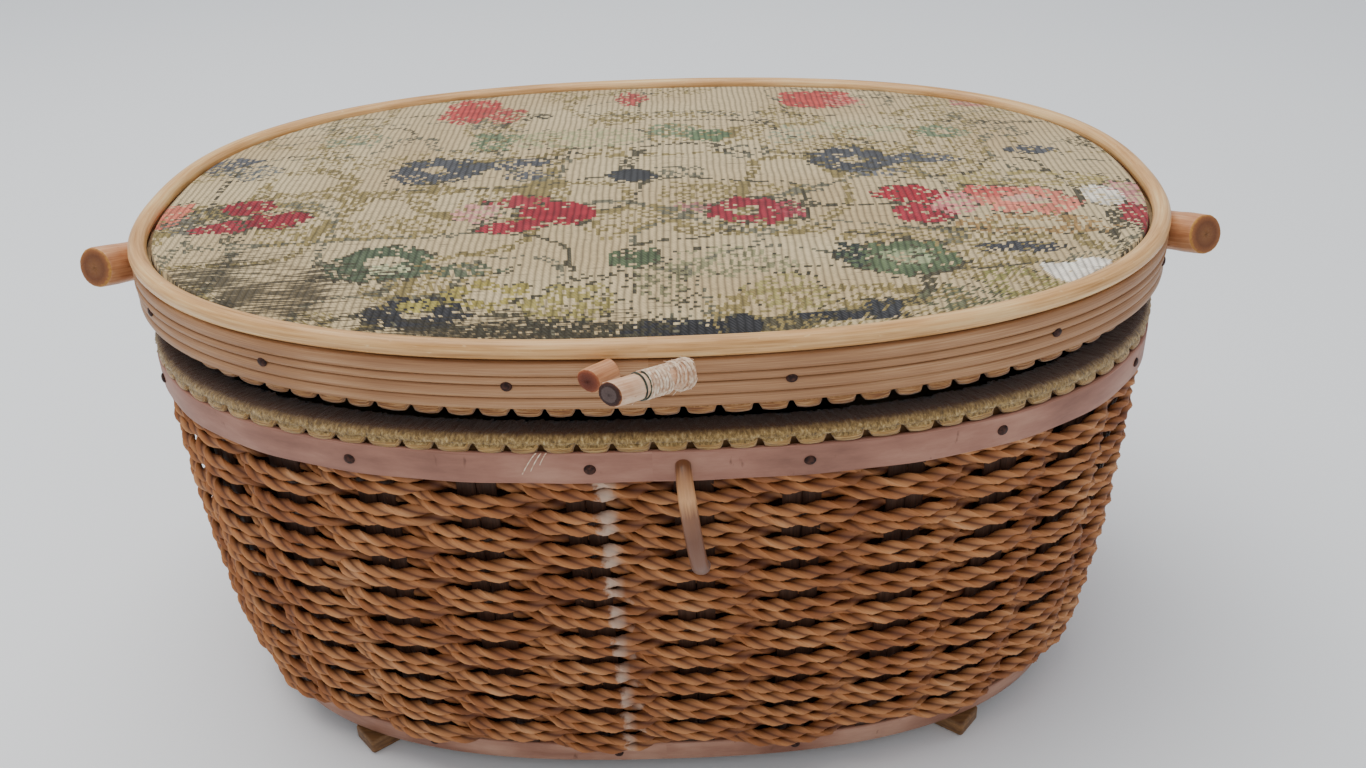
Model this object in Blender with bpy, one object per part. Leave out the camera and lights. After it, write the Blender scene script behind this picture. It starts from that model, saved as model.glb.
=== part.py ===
"""An oval wicker sewing basket: woven wall, hinged tapestry lid, toggle closing and two lift-out trays.

Metres, +Z up, +X along the basket's length, -Y towards the front where the toggle is.
"""

import math

import bmesh
import bpy
from mathutils import Matrix, Vector

MM = 0.001
GAP = 0.3 * MM  # air left between pieces that touch on the real basket
SIDES = 48  # flat sides round each oval
FACET_GAP = 0.9 * MM  # air where two ovals have their flat sides at different places
WELD = 0.001 * MM

# Basket wall
TOP_HALF_X = 127.5 * MM
TOP_HALF_Y = 90.3 * MM
DRAW_IN_X = 13.0 * MM  # how much narrower the base is than the top, on each side
DRAW_IN_Y = 14.8 * MM
BODY_POWER = 2.5  # 2 is an ellipse, more is squarer
FOOT_HEIGHT = 5.0 * MM
RIM_TOP = 112.3 * MM
WEAVE_DEPTH = 4.2 * MM
STAKE_COUNT = 29
STAKE_WIDTH = 9.0 * MM
STAKE_THICKNESS = 1.2 * MM
STAKE_HOOP = 6.0 * MM
LINING_THICKNESS = 1.0 * MM
BAND_THICKNESS = 1.6 * MM
BAND_HEIGHT = 7.7 * MM
BRAID_HEIGHT = 4.4 * MM  # of the braid that shows above the band
BASE_BAND_HEIGHT = 8.0 * MM
BASE_BAND_FLARE = 2.5 * MM
BOARD_THICKNESS = 5.0 * MM
GIMP_THICKNESS = 0.8 * MM
RIM_CORE_RISE = 5.0 * MM  # from the bottom of the top band to the bottom of the rim

# Feet, short blocks that point outwards to the four corners
FOOT_LENGTH = 30.0 * MM
FOOT_WIDTH = 9.0 * MM
FOOT_INSET_X = 45.0 * MM  # from the end of the base to the middle of the foot
FOOT_INSET_Y = 22.5 * MM
FOOT_TURN = math.radians(39)
FOOT_BEVEL = 1.0 * MM

# Lid
LID_OVERHANG_X = 4.2 * MM
LID_OVERHANG_Y = 3.8 * MM
LID_POWER = 2.36
LID_SHIFT_Y = 3.5 * MM  # the lid sits a little towards the hinges
LID_OPENING = 6.2 * MM  # air that the padding holds between the rim and the lid
TOP_REED = 4.5 * MM
REED_HEIGHTS = (2.4 * MM, 2.7 * MM, 1.7 * MM, 3.0 * MM)  # from the lowest up
REED_DEPTH = 3.0 * MM
REED_LIP = 0.6 * MM
FRAME_THICKNESS = 2.5 * MM
LID_BOARD_THICKNESS = 2.4 * MM
COVER_THICKNESS = 0.9 * MM
COVER_SIDE = 2.6 * MM
COVER_CROWN = 3.4 * MM
CROWN_RINGS = (0.03, 0.2, 0.5, 0.8)  # shares of the way in from the edge
LID_GIMP_HEIGHT = 3.0 * MM
LID_GIMP_WIDTH = 3.4 * MM
PAD_EDGE = 3.0 * MM

# Side pegs
PEG_RADIUS = 5.1 * MM
PEG_LENGTH = 14.6 * MM
PEG_TURN = math.radians(66)  # towards the front
PEG_LIFT = math.radians(15)
PEG_RISE = 5.5 * MM  # above the bottom of the lid's rim
PEG_Y = -20.3 * MM  # from the lid's middle
PEG_BEVEL = 0.7 * MM

# Hinges
HINGE_X = 46.0 * MM
HINGE_ROD_RADIUS = 1.5 * MM
STRAP_THICKNESS = 1.2 * MM
STRAP_WIDTH = 6.0 * MM
STRAP_TAIL = 9.0 * MM
STRAP_LEAN = (2.6 * MM, 4.0 * MM)  # out and up from the band, on the way to the rod
HINGE_STANDOFF = 7.0 * MM
HINGE_ROD_SPARE = 2.0 * MM

# Toggle and keeper
TOGGLE_RADIUS = 2.7 * MM
TOGGLE_BEVEL = 0.4 * MM
TOGGLE_LENGTH = 21.0 * MM
TOGGLE_X = 8.0 * MM
TOGGLE_RISE = 10.6 * MM
TOGGLE_HEADING = math.radians(42.5)  # from straight left towards the front
TOGGLE_LIFT = math.radians(9)
THREAD_THICKNESS = 0.5 * MM
THREAD_START = 3.0 * MM
THREAD_LENGTH = 6.0 * MM
STUB_X = -7.1 * MM
STUB_LENGTH = 6.5 * MM
KEEPER_RADIUS = 2.1 * MM
KEEPER_RISE = 1.8 * MM  # above the bottom of the band
KEEPER_HEIGHT = 27.0 * MM
KEEPER_BOW = 8.0 * MM
KEEPER_X = 6.5 * MM
KEEPER_LEAN = 3.5 * MM
# (share of the bow, share of the height down) at each knot
KEEPER_KNOTS = ((0.0, 0.0), (0.22, 0.01), (0.7, 0.12), (0.95, 0.3), (1.0, 0.5), (0.94, 0.7),
                (0.66, 0.9), (0.2, 0.99), (0.0, 1.0))

# Nails, each by its angle round the oval from +X, in degrees
NAIL_RADIUS = 1.3 * MM
NAIL_HEIGHT = 0.8 * MM
LID_NAILS = (-126, -100, -80, -51, -22)
BAND_NAILS = (-156, -116, -94, -79, -58, -29)
BASE_NAILS = (-116, -94, -78, -54)

# Trays
TRAY_FLOOR_Z = 50.0 * MM
TRAY_HEIGHT = 26.0 * MM
TRAY_WALL = 2.0 * MM
TRAY_BOTTOM = 2.0 * MM
TRAY_CLEARANCE = 2.0 * MM
TRAY_SPACING = 2.0 * MM
LEDGE_HEIGHT = 4.0 * MM
LEDGE_DEPTH = 5.0 * MM
DIVIDER_THICKNESS = 2.0 * MM
DIVIDER_DROP = 3.0 * MM
DIVIDER_PLACE = 0.45  # of the way from the middle to the round end
RIBBON_WIDTH = 10.0 * MM
RIBBON_THICKNESS = 0.8 * MM
RIBBON_RISE = 3.0 * MM
RIBBON_BEND = 2.5 * MM
RIBBON_GLUED = 12.0 * MM  # down from the tray's edge
RIBBON_FREE = 8.0 * MM

# Places that follow from the sizes above
BASE_HALF_X = TOP_HALF_X - DRAW_IN_X
BASE_HALF_Y = TOP_HALF_Y - DRAW_IN_Y
LID_HALF_X = TOP_HALF_X + LID_OVERHANG_X
LID_HALF_Y = TOP_HALF_Y + LID_OVERHANG_Y
FOOT_X = BASE_HALF_X - FOOT_INSET_X
FOOT_Y = BASE_HALF_Y - FOOT_INSET_Y
BAND_TOP = RIM_TOP - BRAID_HEIGHT
LID_RIM_BOTTOM = RIM_TOP + LID_OPENING
PEG_Z = LID_RIM_BOTTOM + PEG_RISE
TOGGLE_Z = LID_RIM_BOTTOM + TOGGLE_RISE
BASE_BOTTOM = FOOT_HEIGHT
BOARD_BOTTOM = BASE_BOTTOM + GAP
BOARD_TOP = BOARD_BOTTOM + BOARD_THICKNESS
BASE_BAND_TOP = BASE_BOTTOM + BASE_BAND_HEIGHT
BAND_BOTTOM = BAND_TOP - BAND_HEIGHT
KEEPER_TOP = BAND_BOTTOM + KEEPER_RISE
WEAVE_BOTTOM = BASE_BAND_TOP + GAP
STAKE_INSET = WEAVE_DEPTH + FACET_GAP
LINING_INSET = STAKE_INSET + STAKE_THICKNESS + FACET_GAP
ROOM_INSET = LINING_INSET + LINING_THICKNESS
GIMP_BOTTOM = BAND_TOP + GAP
RIM_BOTTOM = BAND_BOTTOM + RIM_CORE_RISE
RIM_CORE_TOP = RIM_TOP - GIMP_THICKNESS - GAP
REED_INSET = 0.2 * MM
FRAME_INSET = REED_INSET + REED_DEPTH + GAP
SIDE_REEDS_TOP = LID_RIM_BOTTOM + sum(REED_HEIGHTS) + len(REED_HEIGHTS) * GAP
FRAME_TOP = SIDE_REEDS_TOP - LID_BOARD_THICKNESS - 2 * GAP
LID_BOARD_BOTTOM = FRAME_TOP + GAP
LID_BOARD_TOP = LID_BOARD_BOTTOM + LID_BOARD_THICKNESS
COVER_INSET = TOP_REED + GAP
COVER_BOTTOM = LID_BOARD_TOP + GAP
LID_GIMP_TOP = LID_RIM_BOTTOM - GAP
PAD_INSET = FRAME_INSET + max(FRAME_THICKNESS, LID_GIMP_WIDTH) + GAP
PAD_BOTTOM = RIM_TOP + GAP
LID_FRONT_Y = LID_SHIFT_Y - LID_HALF_Y
LID_BACK_Y = LID_SHIFT_Y + LID_HALF_Y
LOOP_RADIUS = HINGE_ROD_RADIUS + GAP + STRAP_THICKNESS / 2
HINGE_Y = max(LID_BACK_Y, TOP_HALF_Y + HINGE_STANDOFF) + GAP
HINGE_Z = LID_RIM_BOTTOM - LOOP_RADIUS - STRAP_THICKNESS / 2 - 2 * GAP
TOGGLE_Y = LID_FRONT_Y - TOGGLE_RADIUS - THREAD_THICKNESS - 3 * GAP


def material(name, colour, roughness, metallic=0.0):
    """A plain Principled material, its colour as sRGB hex."""
    made = bpy.data.materials.new(name)
    made.use_nodes = True
    shader = made.node_tree.nodes["Principled BSDF"]
    parts = [int(colour[i:i + 2], 16) / 255 for i in (0, 2, 4)]
    linear = [c / 12.92 if c <= 0.04045 else ((c + 0.055) / 1.055) ** 2.4 for c in parts]
    shader.inputs["Base Color"].default_value = (*linear, 1.0)
    shader.inputs["Roughness"].default_value = roughness
    shader.inputs["Metallic"].default_value = metallic
    return made


def add(name, bm, look):
    """Close a bmesh into an object, smooth on its round parts."""
    bmesh.ops.recalc_face_normals(bm, faces=bm.faces)
    mesh = bpy.data.meshes.new(name)
    bm.to_mesh(mesh)
    bm.free()
    mesh.shade_smooth()
    mesh.set_sharp_from_angle(angle=math.radians(35))
    mesh.materials.append(look)
    made = bpy.data.objects.new(name, mesh)
    bpy.context.collection.objects.link(made)
    return made


def empty(name, place, parent=None):
    made = bpy.data.objects.new(name, None)
    made.empty_display_size = 0.02
    bpy.context.collection.objects.link(made)
    hang(made, parent)
    made.matrix_world = Matrix.Translation(place)
    bpy.context.view_layer.update()
    return made


def hang(child, parent):
    """Parent without moving the child."""
    if parent:
        child.parent = parent
        child.matrix_parent_inverse = parent.matrix_world.inverted()


def oval_point(half_x, half_y, power, angle):
    c = math.cos(angle)
    s = math.sin(angle)
    x = math.copysign(abs(c) ** (2 / power), c)
    y = math.copysign(abs(s) ** (2 / power), s)
    return half_x * x, half_y * y


def wall_half(z, inset=0.0):
    """Half-lengths of the basket's outer face at a height, less an inset: a quarter-ellipse taper."""
    down = (RIM_TOP - z) / (RIM_TOP - BASE_BOTTOM)
    taper = 1 - math.sqrt(max(0.0, 1 - down * down))
    half_x = TOP_HALF_X + (BASE_HALF_X - TOP_HALF_X) * taper - inset
    half_y = TOP_HALF_Y + (BASE_HALF_Y - TOP_HALF_Y) * taper - inset
    return half_x, half_y


def body_point(angle, inset, z):
    return Vector((*oval_point(*wall_half(z, inset), BODY_POWER, angle), z))


def lid_point(angle, inset, z):
    x, y = oval_point(LID_HALF_X - inset, LID_HALF_Y - inset, LID_POWER, angle)
    return Vector((x, y + LID_SHIFT_Y, z))


def loft(name, point, profile, look, closed):
    """A solid whose section runs through (inset, z) pairs: a closed hoop, or capped at both ends."""
    bm = bmesh.new()
    rows = len(profile) if closed else len(profile) - 1
    bmesh.ops.create_grid(bm, x_segments=SIDES, y_segments=rows, size=0.5)
    for vert in bm.verts:
        side = round((vert.co.x + 0.5) * SIDES) % SIDES
        row = round((vert.co.y + 0.5) * rows) % len(profile)
        vert.co = point(2 * math.pi * side / SIDES, *profile[row])
    bmesh.ops.remove_doubles(bm, verts=bm.verts, dist=WELD)
    if not closed:
        open_edges = [edge for edge in bm.edges if edge.is_boundary]
        bmesh.ops.holes_fill(bm, edges=open_edges, sides=0)
    return add(name, bm, look)


def heights(bottom, top, steps):
    return [bottom + (top - bottom) * i / steps for i in range(steps + 1)]


def rod(name, start, end, radius, look, segments=16, bevel=0.0):
    """A round rod between two points."""
    bm = bmesh.new()
    length = (end - start).length
    bmesh.ops.create_cone(bm, cap_ends=True, segments=segments, radius1=radius, radius2=radius,
                          depth=length)
    if bevel:
        rims = [e for e in bm.edges if abs(e.verts[0].co.z - e.verts[1].co.z) < GAP]
        bmesh.ops.bevel(bm, geom=rims, offset=bevel, offset_type="OFFSET", segments=2,
                        profile=0.5, affect="EDGES", material=-1)
    turn = (end - start).to_track_quat("Z", "Y").to_matrix().to_4x4()
    bmesh.ops.transform(bm, matrix=Matrix.Translation((start + end) / 2) @ turn, verts=bm.verts)
    return add(name, bm, look)


def strip(name, path, thickness, start_x, width, look):
    """A strap that follows a path of (y, z) points, with its width along X."""
    bm = bmesh.new()
    sides = ([], [])
    for i, (y, z) in enumerate(path):
        before = Vector(path[max(i - 1, 0)])
        after = Vector(path[min(i + 1, len(path) - 1)])
        along = (after - before).normalized()
        across = Vector((-along.y, along.x)) * thickness / 2
        sides[0].append((start_x, y + across.x, z + across.y))
        sides[1].append((start_x, y - across.x, z - across.y))
    left = [bm.verts.new(p) for p in sides[0]]
    right = [bm.verts.new(p) for p in sides[1]]
    faces = []
    for i in range(len(path) - 1):
        faces.append(bm.faces.new((left[i], left[i + 1], right[i + 1], right[i])))
    moved = bmesh.ops.extrude_face_region(bm, geom=faces)["geom"]
    verts = [item for item in moved if isinstance(item, bmesh.types.BMVert)]
    bmesh.ops.translate(bm, verts=verts, vec=(width, 0, 0))
    return add(name, bm, look)


def arc(centre_y, centre_z, radius, first, last, steps):
    """Points of an arc, in degrees from +Y towards +Z."""
    found = []
    for i in range(steps + 1):
        angle = math.radians(first + (last - first) * i / steps)
        found.append((centre_y + radius * math.cos(angle), centre_z + radius * math.sin(angle)))
    return found


def nail(name, place, outward, look):
    start = place + outward * GAP
    return rod(name, start, start + outward * NAIL_HEIGHT, NAIL_RADIUS, look, 10)


def facet(point, angle, inset, z):
    """A place on the flat side of the faceted oval at an angle, and that side's level outward direction."""
    share = angle / (2 * math.pi) * SIDES
    low = math.floor(share)
    before = point(2 * math.pi * low / SIDES, inset, z)
    after = point(2 * math.pi * (low + 1) / SIDES, inset, z)
    along = after - before
    return before.lerp(after, share - low), Vector((along.y, -along.x, 0)).normalized()


def nails(prefix, point, angles, inset, z, look, lean=0.0):
    """Nail heads on an oval face; lean is how much the face leans out per unit of height."""
    made = []
    for number, degrees in enumerate(angles, 1):
        place, outward = facet(point, math.radians(degrees), inset, z)
        outward = (outward - Vector((0, 0, lean))).normalized()
        made.append(nail(f"{prefix}_{number}", place, outward, look))
    return made


def make_base(looks):
    half_x, half_y = wall_half(BASE_BOTTOM)

    def board_point(angle, inset, z):
        return Vector((*oval_point(half_x - inset, half_y - inset, BODY_POWER, angle), z))

    board_inset = BAND_THICKNESS + GAP
    made = [loft("base_board", board_point,
                 [(board_inset, BOARD_BOTTOM), (board_inset, BOARD_TOP)], looks["wood"], False)]
    made.append(loft("base_band", board_point, [
        (0.0, BASE_BOTTOM), (-BASE_BAND_FLARE, BASE_BAND_TOP),
        (BAND_THICKNESS - BASE_BAND_FLARE, BASE_BAND_TOP), (BAND_THICKNESS, BASE_BOTTOM),
    ], looks["pink_reed"], True))
    for end, x_sign in (("left", -1), ("right", 1)):
        for face, y_sign in (("front", -1), ("back", 1)):
            made.append(make_foot(f"foot_{face}_{end}", x_sign, y_sign, looks["wood"]))
    made += nails("base_nail", board_point, BASE_NAILS, -BASE_BAND_FLARE / 2,
                  BASE_BOTTOM + BASE_BAND_HEIGHT / 2, looks["nail"], BASE_BAND_FLARE / BASE_BAND_HEIGHT)
    return made


def make_foot(name, x_sign, y_sign, look):
    bm = bmesh.new()
    bmesh.ops.create_cube(bm, size=1.0)
    height = FOOT_HEIGHT - GAP
    bmesh.ops.scale(bm, vec=(FOOT_LENGTH, FOOT_WIDTH, height), verts=bm.verts)
    lower = [e for e in bm.edges if max(v.co.z for v in e.verts) < 0]
    bmesh.ops.bevel(bm, geom=lower, offset=FOOT_BEVEL, offset_type="OFFSET", segments=2,
                    profile=0.5, affect="EDGES", material=-1)
    turn = Matrix.Rotation(x_sign * y_sign * FOOT_TURN, 4, "Z")
    place = Matrix.Translation((x_sign * FOOT_X, y_sign * FOOT_Y, height / 2))
    bmesh.ops.transform(bm, matrix=place @ turn, verts=bm.verts)
    return add(name, bm, look)


def make_wall(looks):
    neck = BAND_BOTTOM - GAP
    behind_band = BAND_THICKNESS + GAP
    wall_top = RIM_BOTTOM - GAP
    outside = [(0.0, z) for z in heights(WEAVE_BOTTOM, neck, 6)]
    inside = [(WEAVE_DEPTH, z) for z in reversed(heights(WEAVE_BOTTOM, wall_top, 6))]
    weave = loft("woven_wall", body_point,
                 outside + [(behind_band, neck), (behind_band, wall_top)] + inside,
                 looks["cord"], True)
    return [
        weave,
        make_stakes(looks["stake"], wall_top),
        loft("top_band", body_point, [
            (0.0, BAND_BOTTOM), (0.0, BAND_TOP),
            (BAND_THICKNESS, BAND_TOP), (BAND_THICKNESS, BAND_BOTTOM),
        ], looks["pink_reed"], True),
        loft("rim_core", body_point, [
            (behind_band, RIM_BOTTOM), (behind_band, RIM_CORE_TOP),
            (LINING_INSET - GAP, RIM_CORE_TOP), (LINING_INSET - GAP, RIM_BOTTOM),
        ], looks["wood"], True),
        loft("rim_gimp", body_point, [
            (GAP, GIMP_BOTTOM), (GAP, RIM_TOP), (LINING_INSET - GAP, RIM_TOP),
            (LINING_INSET - GAP, RIM_TOP - GIMP_THICKNESS),
            (BAND_THICKNESS, RIM_TOP - GIMP_THICKNESS), (BAND_THICKNESS, GIMP_BOTTOM),
        ], looks["gold_braid"], True),
        make_lining(looks["satin"]),
        *nails("band_nail", body_point, BAND_NAILS, 0.0, (BAND_TOP + BAND_BOTTOM) / 2, looks["nail"]),
    ]


def make_stakes(look, top):
    """The upright stakes, held together by a hoop at the bottom and one at the top."""
    bottom = BOARD_TOP + GAP
    perimeter = 0.0
    last = body_point(0.0, STAKE_INSET, RIM_TOP)
    for i in range(1, SIDES + 1):
        here = body_point(2 * math.pi * i / SIDES, STAKE_INSET, RIM_TOP)
        perimeter += (here - last).length
        last = here
    share = STAKE_WIDTH / (perimeter / STAKE_COUNT)
    levels = [bottom, *heights(bottom + STAKE_HOOP, top - STAKE_HOOP, 4), top]
    bm = bmesh.new()
    columns = 2 * STAKE_COUNT
    bmesh.ops.create_grid(bm, x_segments=columns, y_segments=len(levels) - 1, size=0.5)
    for vert in bm.verts:
        column = round((vert.co.x + 0.5) * columns) % columns
        turn = (column // 2 + (column % 2) * share) / STAKE_COUNT
        z = levels[round((vert.co.y + 0.5) * (len(levels) - 1))]
        vert.co = body_point(2 * math.pi * turn, STAKE_INSET + STAKE_THICKNESS / 2, z)
    bmesh.ops.remove_doubles(bm, verts=bm.verts, dist=WELD)
    windows = []
    for face in bm.faces:
        low = min(v.co.z for v in face.verts)
        high = max(v.co.z for v in face.verts)
        open_row = low > bottom + GAP and high < top - GAP
        turn = math.atan2(*reversed(body_turn(face.calc_center_median())))
        place = turn / (2 * math.pi) * STAKE_COUNT % 1.0
        if open_row and place > share:
            windows.append(face)
    bmesh.ops.delete(bm, geom=windows, context="FACES")
    made = add("stakes", bm, look)
    wall = made.modifiers.new("thickness", "SOLIDIFY")
    wall.thickness = STAKE_THICKNESS
    wall.offset = 0.0
    return made


def body_turn(place):
    """The cosine and sine that the oval formula had at a point, from its x and y."""
    half_x, half_y = wall_half(place.z, STAKE_INSET)
    c = math.copysign(abs(place.x / half_x) ** (BODY_POWER / 2), place.x)
    s = math.copysign(abs(place.y / half_y) ** (BODY_POWER / 2), place.y)
    return c, s


def make_lining(look):
    floor = BOARD_TOP + GAP
    top = RIM_TOP - GAP
    outer = [(LINING_INSET, z) for z in heights(floor, top, 6)]
    inner = [(ROOM_INSET, z) for z in reversed(heights(floor + LINING_THICKNESS, top, 6))]
    return loft("lining", body_point, outer + inner, look, False)


def make_ledge(look):
    bottom = TRAY_FLOOR_Z - GAP - LEDGE_HEIGHT
    top = TRAY_FLOOR_Z - GAP
    outer = ROOM_INSET + GAP
    return loft("tray_ledge", body_point, [
        (outer, bottom), (outer, top), (outer + LEDGE_DEPTH, top), (outer + LEDGE_DEPTH, bottom),
    ], look, True)


def make_lid(looks):
    made = []
    bottom = LID_RIM_BOTTOM
    for number, height in enumerate(REED_HEIGHTS, 1):
        inner = REED_INSET + REED_DEPTH
        made.append(loft(f"lid_reed_{number}", lid_point, [
            (inner, bottom), (REED_INSET + REED_LIP, bottom), (REED_INSET, bottom + height / 2),
            (REED_INSET + REED_LIP, bottom + height), (inner, bottom + height),
        ], looks["pale_reed"], True))
        bottom += height + GAP
    radius = TOP_REED / 2
    section = []
    for i in range(8):
        angle = 2 * math.pi * (i + 0.5) / 8
        section.append((radius - radius * math.cos(angle), bottom + radius + radius * math.sin(angle)))
    made.append(loft("lid_top_reed", lid_point, section, looks["golden_reed"], True))
    made.append(loft("lid_frame", lid_point, [
        (FRAME_INSET, LID_RIM_BOTTOM), (FRAME_INSET, FRAME_TOP),
        (FRAME_INSET + FRAME_THICKNESS, FRAME_TOP), (FRAME_INSET + FRAME_THICKNESS, LID_RIM_BOTTOM),
    ], looks["wood"], True))
    made.append(loft("lid_board", lid_point, [
        (FRAME_INSET, LID_BOARD_BOTTOM), (FRAME_INSET, LID_BOARD_TOP)], looks["card"], False))
    made.append(make_dome("tapestry", COVER_INSET, COVER_BOTTOM, COVER_SIDE, COVER_CROWN,
                          looks["tapestry"], hollow=COVER_THICKNESS))
    inside = COVER_INSET + COVER_THICKNESS + GAP
    made.append(make_dome("lid_wadding", inside, COVER_BOTTOM, COVER_SIDE - COVER_THICKNESS - GAP,
                          COVER_CROWN, looks["wadding"]))
    made.append(loft("lid_gimp", lid_point, [
        (FRAME_INSET, LID_GIMP_TOP - LID_GIMP_HEIGHT), (FRAME_INSET, LID_GIMP_TOP),
        (FRAME_INSET + LID_GIMP_WIDTH, LID_GIMP_TOP),
        (FRAME_INSET + LID_GIMP_WIDTH, LID_GIMP_TOP - LID_GIMP_HEIGHT),
    ], looks["tan_braid"], True))
    made.append(loft("lid_lining", lid_point, [
        (PAD_INSET + PAD_EDGE, PAD_BOTTOM), (PAD_INSET + PAD_EDGE / 3, PAD_BOTTOM + PAD_EDGE / 3),
        (PAD_INSET, PAD_BOTTOM + PAD_EDGE), (PAD_INSET, LID_BOARD_BOTTOM - GAP),
    ], looks["satin"], False))
    nail_z = LID_RIM_BOTTOM + sum(REED_HEIGHTS[:2]) + GAP * 1.5
    made += nails("lid_nail", lid_point, LID_NAILS, REED_INSET, nail_z, looks["nail"])
    return made


def make_dome(name, inset, bottom, side, crown, look, hollow=0.0):
    """A low crowned cushion shape, or a skin over one."""
    def rings(edge, low, high):
        found = [(edge, low), (edge, high - side / 3)]
        for share in CROWN_RINGS:
            rise = crown * math.sin(share * math.pi / 2)
            found.append((edge + share * (LID_HALF_Y - edge), high + rise))
        return found

    profile = rings(inset, bottom, bottom + side)
    if hollow:
        under = rings(inset + hollow, bottom, bottom + side - hollow)
        profile = under[::-1] + profile
    return loft(name, lid_point, profile, look, False)


def out_of_lid(point, heading):
    """The place where a line from inside the lid comes out of its oval."""
    near, far = 0.0, 3 * LID_OVERHANG_X + 4 * PEG_RADIUS
    start = point - heading * 2 * PEG_RADIUS
    for _ in range(40):
        middle = (near + far) / 2
        place = start + heading * middle
        reach = abs(place.x / (LID_HALF_X + GAP)) ** LID_POWER
        reach += abs((place.y - LID_SHIFT_Y) / (LID_HALF_Y + GAP)) ** LID_POWER
        if reach < 1:
            near = middle
        else:
            far = middle
    return start + heading * far


def make_pegs(looks):
    made = []
    for end, sign in (("left", -1), ("right", 1)):
        level = math.cos(PEG_LIFT)
        heading = Vector((sign * math.cos(PEG_TURN) * level, -math.sin(PEG_TURN) * level,
                          math.sin(PEG_LIFT)))
        across = (1 - abs(PEG_Y / LID_HALF_Y) ** LID_POWER) ** (1 / LID_POWER)
        start = Vector((sign * LID_HALF_X * across, LID_SHIFT_Y + PEG_Y, PEG_Z))
        peg = rod(f"side_peg_{end}", start, start + heading * PEG_LENGTH, PEG_RADIUS,
                  looks["brown_reed"], 20)
        for vert in peg.data.vertices:
            # the root end is cut to the curve of the rim
            if (vert.co - start).dot(heading) < GAP:
                vert.co = out_of_lid(vert.co, heading)
        tip = peg.modifiers.new("worn end", "BEVEL")
        tip.width = PEG_BEVEL
        tip.segments = 2
        made.append(peg)
    return made


def make_hinges(looks):
    """Two reed hinges: a strap from the basket and one from the lid, looped on a short rod."""
    fixed = []
    swinging = []
    on_band = TOP_HALF_Y + GAP + STRAP_THICKNESS / 2
    on_lid = LID_BACK_Y + GAP + STRAP_THICKNESS / 2
    lean_out, lean_up = STRAP_LEAN
    low = [(on_band, BAND_TOP - STRAP_TAIL), (on_band, BAND_TOP), (on_band + lean_out, BAND_TOP + lean_up)]
    loop_low = arc(HINGE_Y, HINGE_Z, LOOP_RADIUS, 180, -100, 12)
    high = [(on_lid, LID_RIM_BOTTOM + STRAP_TAIL), (on_lid, LID_RIM_BOTTOM + STRAP_THICKNESS)]
    loop_high = arc(HINGE_Y, HINGE_Z, LOOP_RADIUS, 0, -250, 12)
    for end, sign in (("left", -1), ("right", 1)):
        middle = sign * HINGE_X
        fixed.append(strip(f"hinge_strap_{end}", low + loop_low, STRAP_THICKNESS,
                           middle - STRAP_WIDTH - GAP, STRAP_WIDTH, looks["brown_reed"]))
        swinging.append(strip(f"lid_strap_{end}", high + loop_high, STRAP_THICKNESS,
                              middle + GAP, STRAP_WIDTH, looks["brown_reed"]))
        reach = STRAP_WIDTH + HINGE_ROD_SPARE
        fixed.append(rod(f"hinge_rod_{end}", Vector((middle - reach, HINGE_Y, HINGE_Z)),
                         Vector((middle + reach, HINGE_Y, HINGE_Z)), HINGE_ROD_RADIUS,
                         looks["golden_reed"], 12))
    return fixed, swinging


def make_toggle(looks):
    pivot = Vector((TOGGLE_X, TOGGLE_Y, TOGGLE_Z))
    level = Vector((-math.cos(TOGGLE_HEADING), -math.sin(TOGGLE_HEADING), 0))
    heading = level * math.cos(TOGGLE_LIFT) + Vector((0, 0, math.sin(TOGGLE_LIFT)))
    peg = rod("toggle_peg", pivot, pivot + heading * TOGGLE_LENGTH, TOGGLE_RADIUS,
              looks["brown_reed"], 14, TOGGLE_BEVEL)
    inner = TOGGLE_RADIUS + GAP
    outer = inner + THREAD_THICKNESS
    bm = bmesh.new()
    for z, radius in ((0, inner), (0, outer), (THREAD_LENGTH, outer), (THREAD_LENGTH, inner)):
        bm.verts.new((radius, 0, THREAD_START + z))
    corners = list(bm.verts)
    for i in range(4):
        bm.edges.new((corners[i], corners[(i + 1) % 4]))
    bmesh.ops.spin(bm, geom=bm.verts[:] + bm.edges[:], axis=(0, 0, 1), cent=(0, 0, 0), steps=14,
                   angle=2 * math.pi, use_merge=True)
    turn = heading.to_track_quat("Z", "Y").to_matrix().to_4x4()
    bmesh.ops.transform(bm, matrix=Matrix.Translation(pivot) @ turn, verts=bm.verts)
    thread = add("toggle_thread", bm, looks["thread"])
    stub_start = Vector((STUB_X, LID_FRONT_Y - GAP - TOGGLE_RADIUS * math.sin(TOGGLE_HEADING), TOGGLE_Z))
    stub = rod("toggle_stub", stub_start, stub_start + level * STUB_LENGTH, TOGGLE_RADIUS,
               looks["brown_reed"], 14, TOGGLE_BEVEL)
    return pivot, [peg, thread], stub


def make_keeper(look):
    """A bent reed that stands off the wall, so the toggle can tuck behind it."""
    curve = bpy.data.curves.new("latch_keeper", "CURVE")
    curve.dimensions = "3D"
    curve.bevel_depth = KEEPER_RADIUS
    curve.bevel_resolution = 2
    curve.resolution_u = 3
    curve.use_fill_caps = True
    spline = curve.splines.new("BEZIER")
    spline.bezier_points.add(len(KEEPER_KNOTS) - 1)
    for knot, (out, down) in zip(spline.bezier_points, KEEPER_KNOTS):
        z = KEEPER_TOP - down * KEEPER_HEIGHT
        x = KEEPER_X + down * KEEPER_LEAN
        angle = -math.pi / 2
        y = body_point(angle, 0.0, z).y - GAP - out * KEEPER_BOW
        knot.co = (x, y, z)
        knot.handle_left_type = "AUTO"
        knot.handle_right_type = "AUTO"
    made = bpy.data.objects.new("latch_keeper", curve)
    bpy.context.collection.objects.link(made)
    curve.materials.append(look)
    return made


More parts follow.
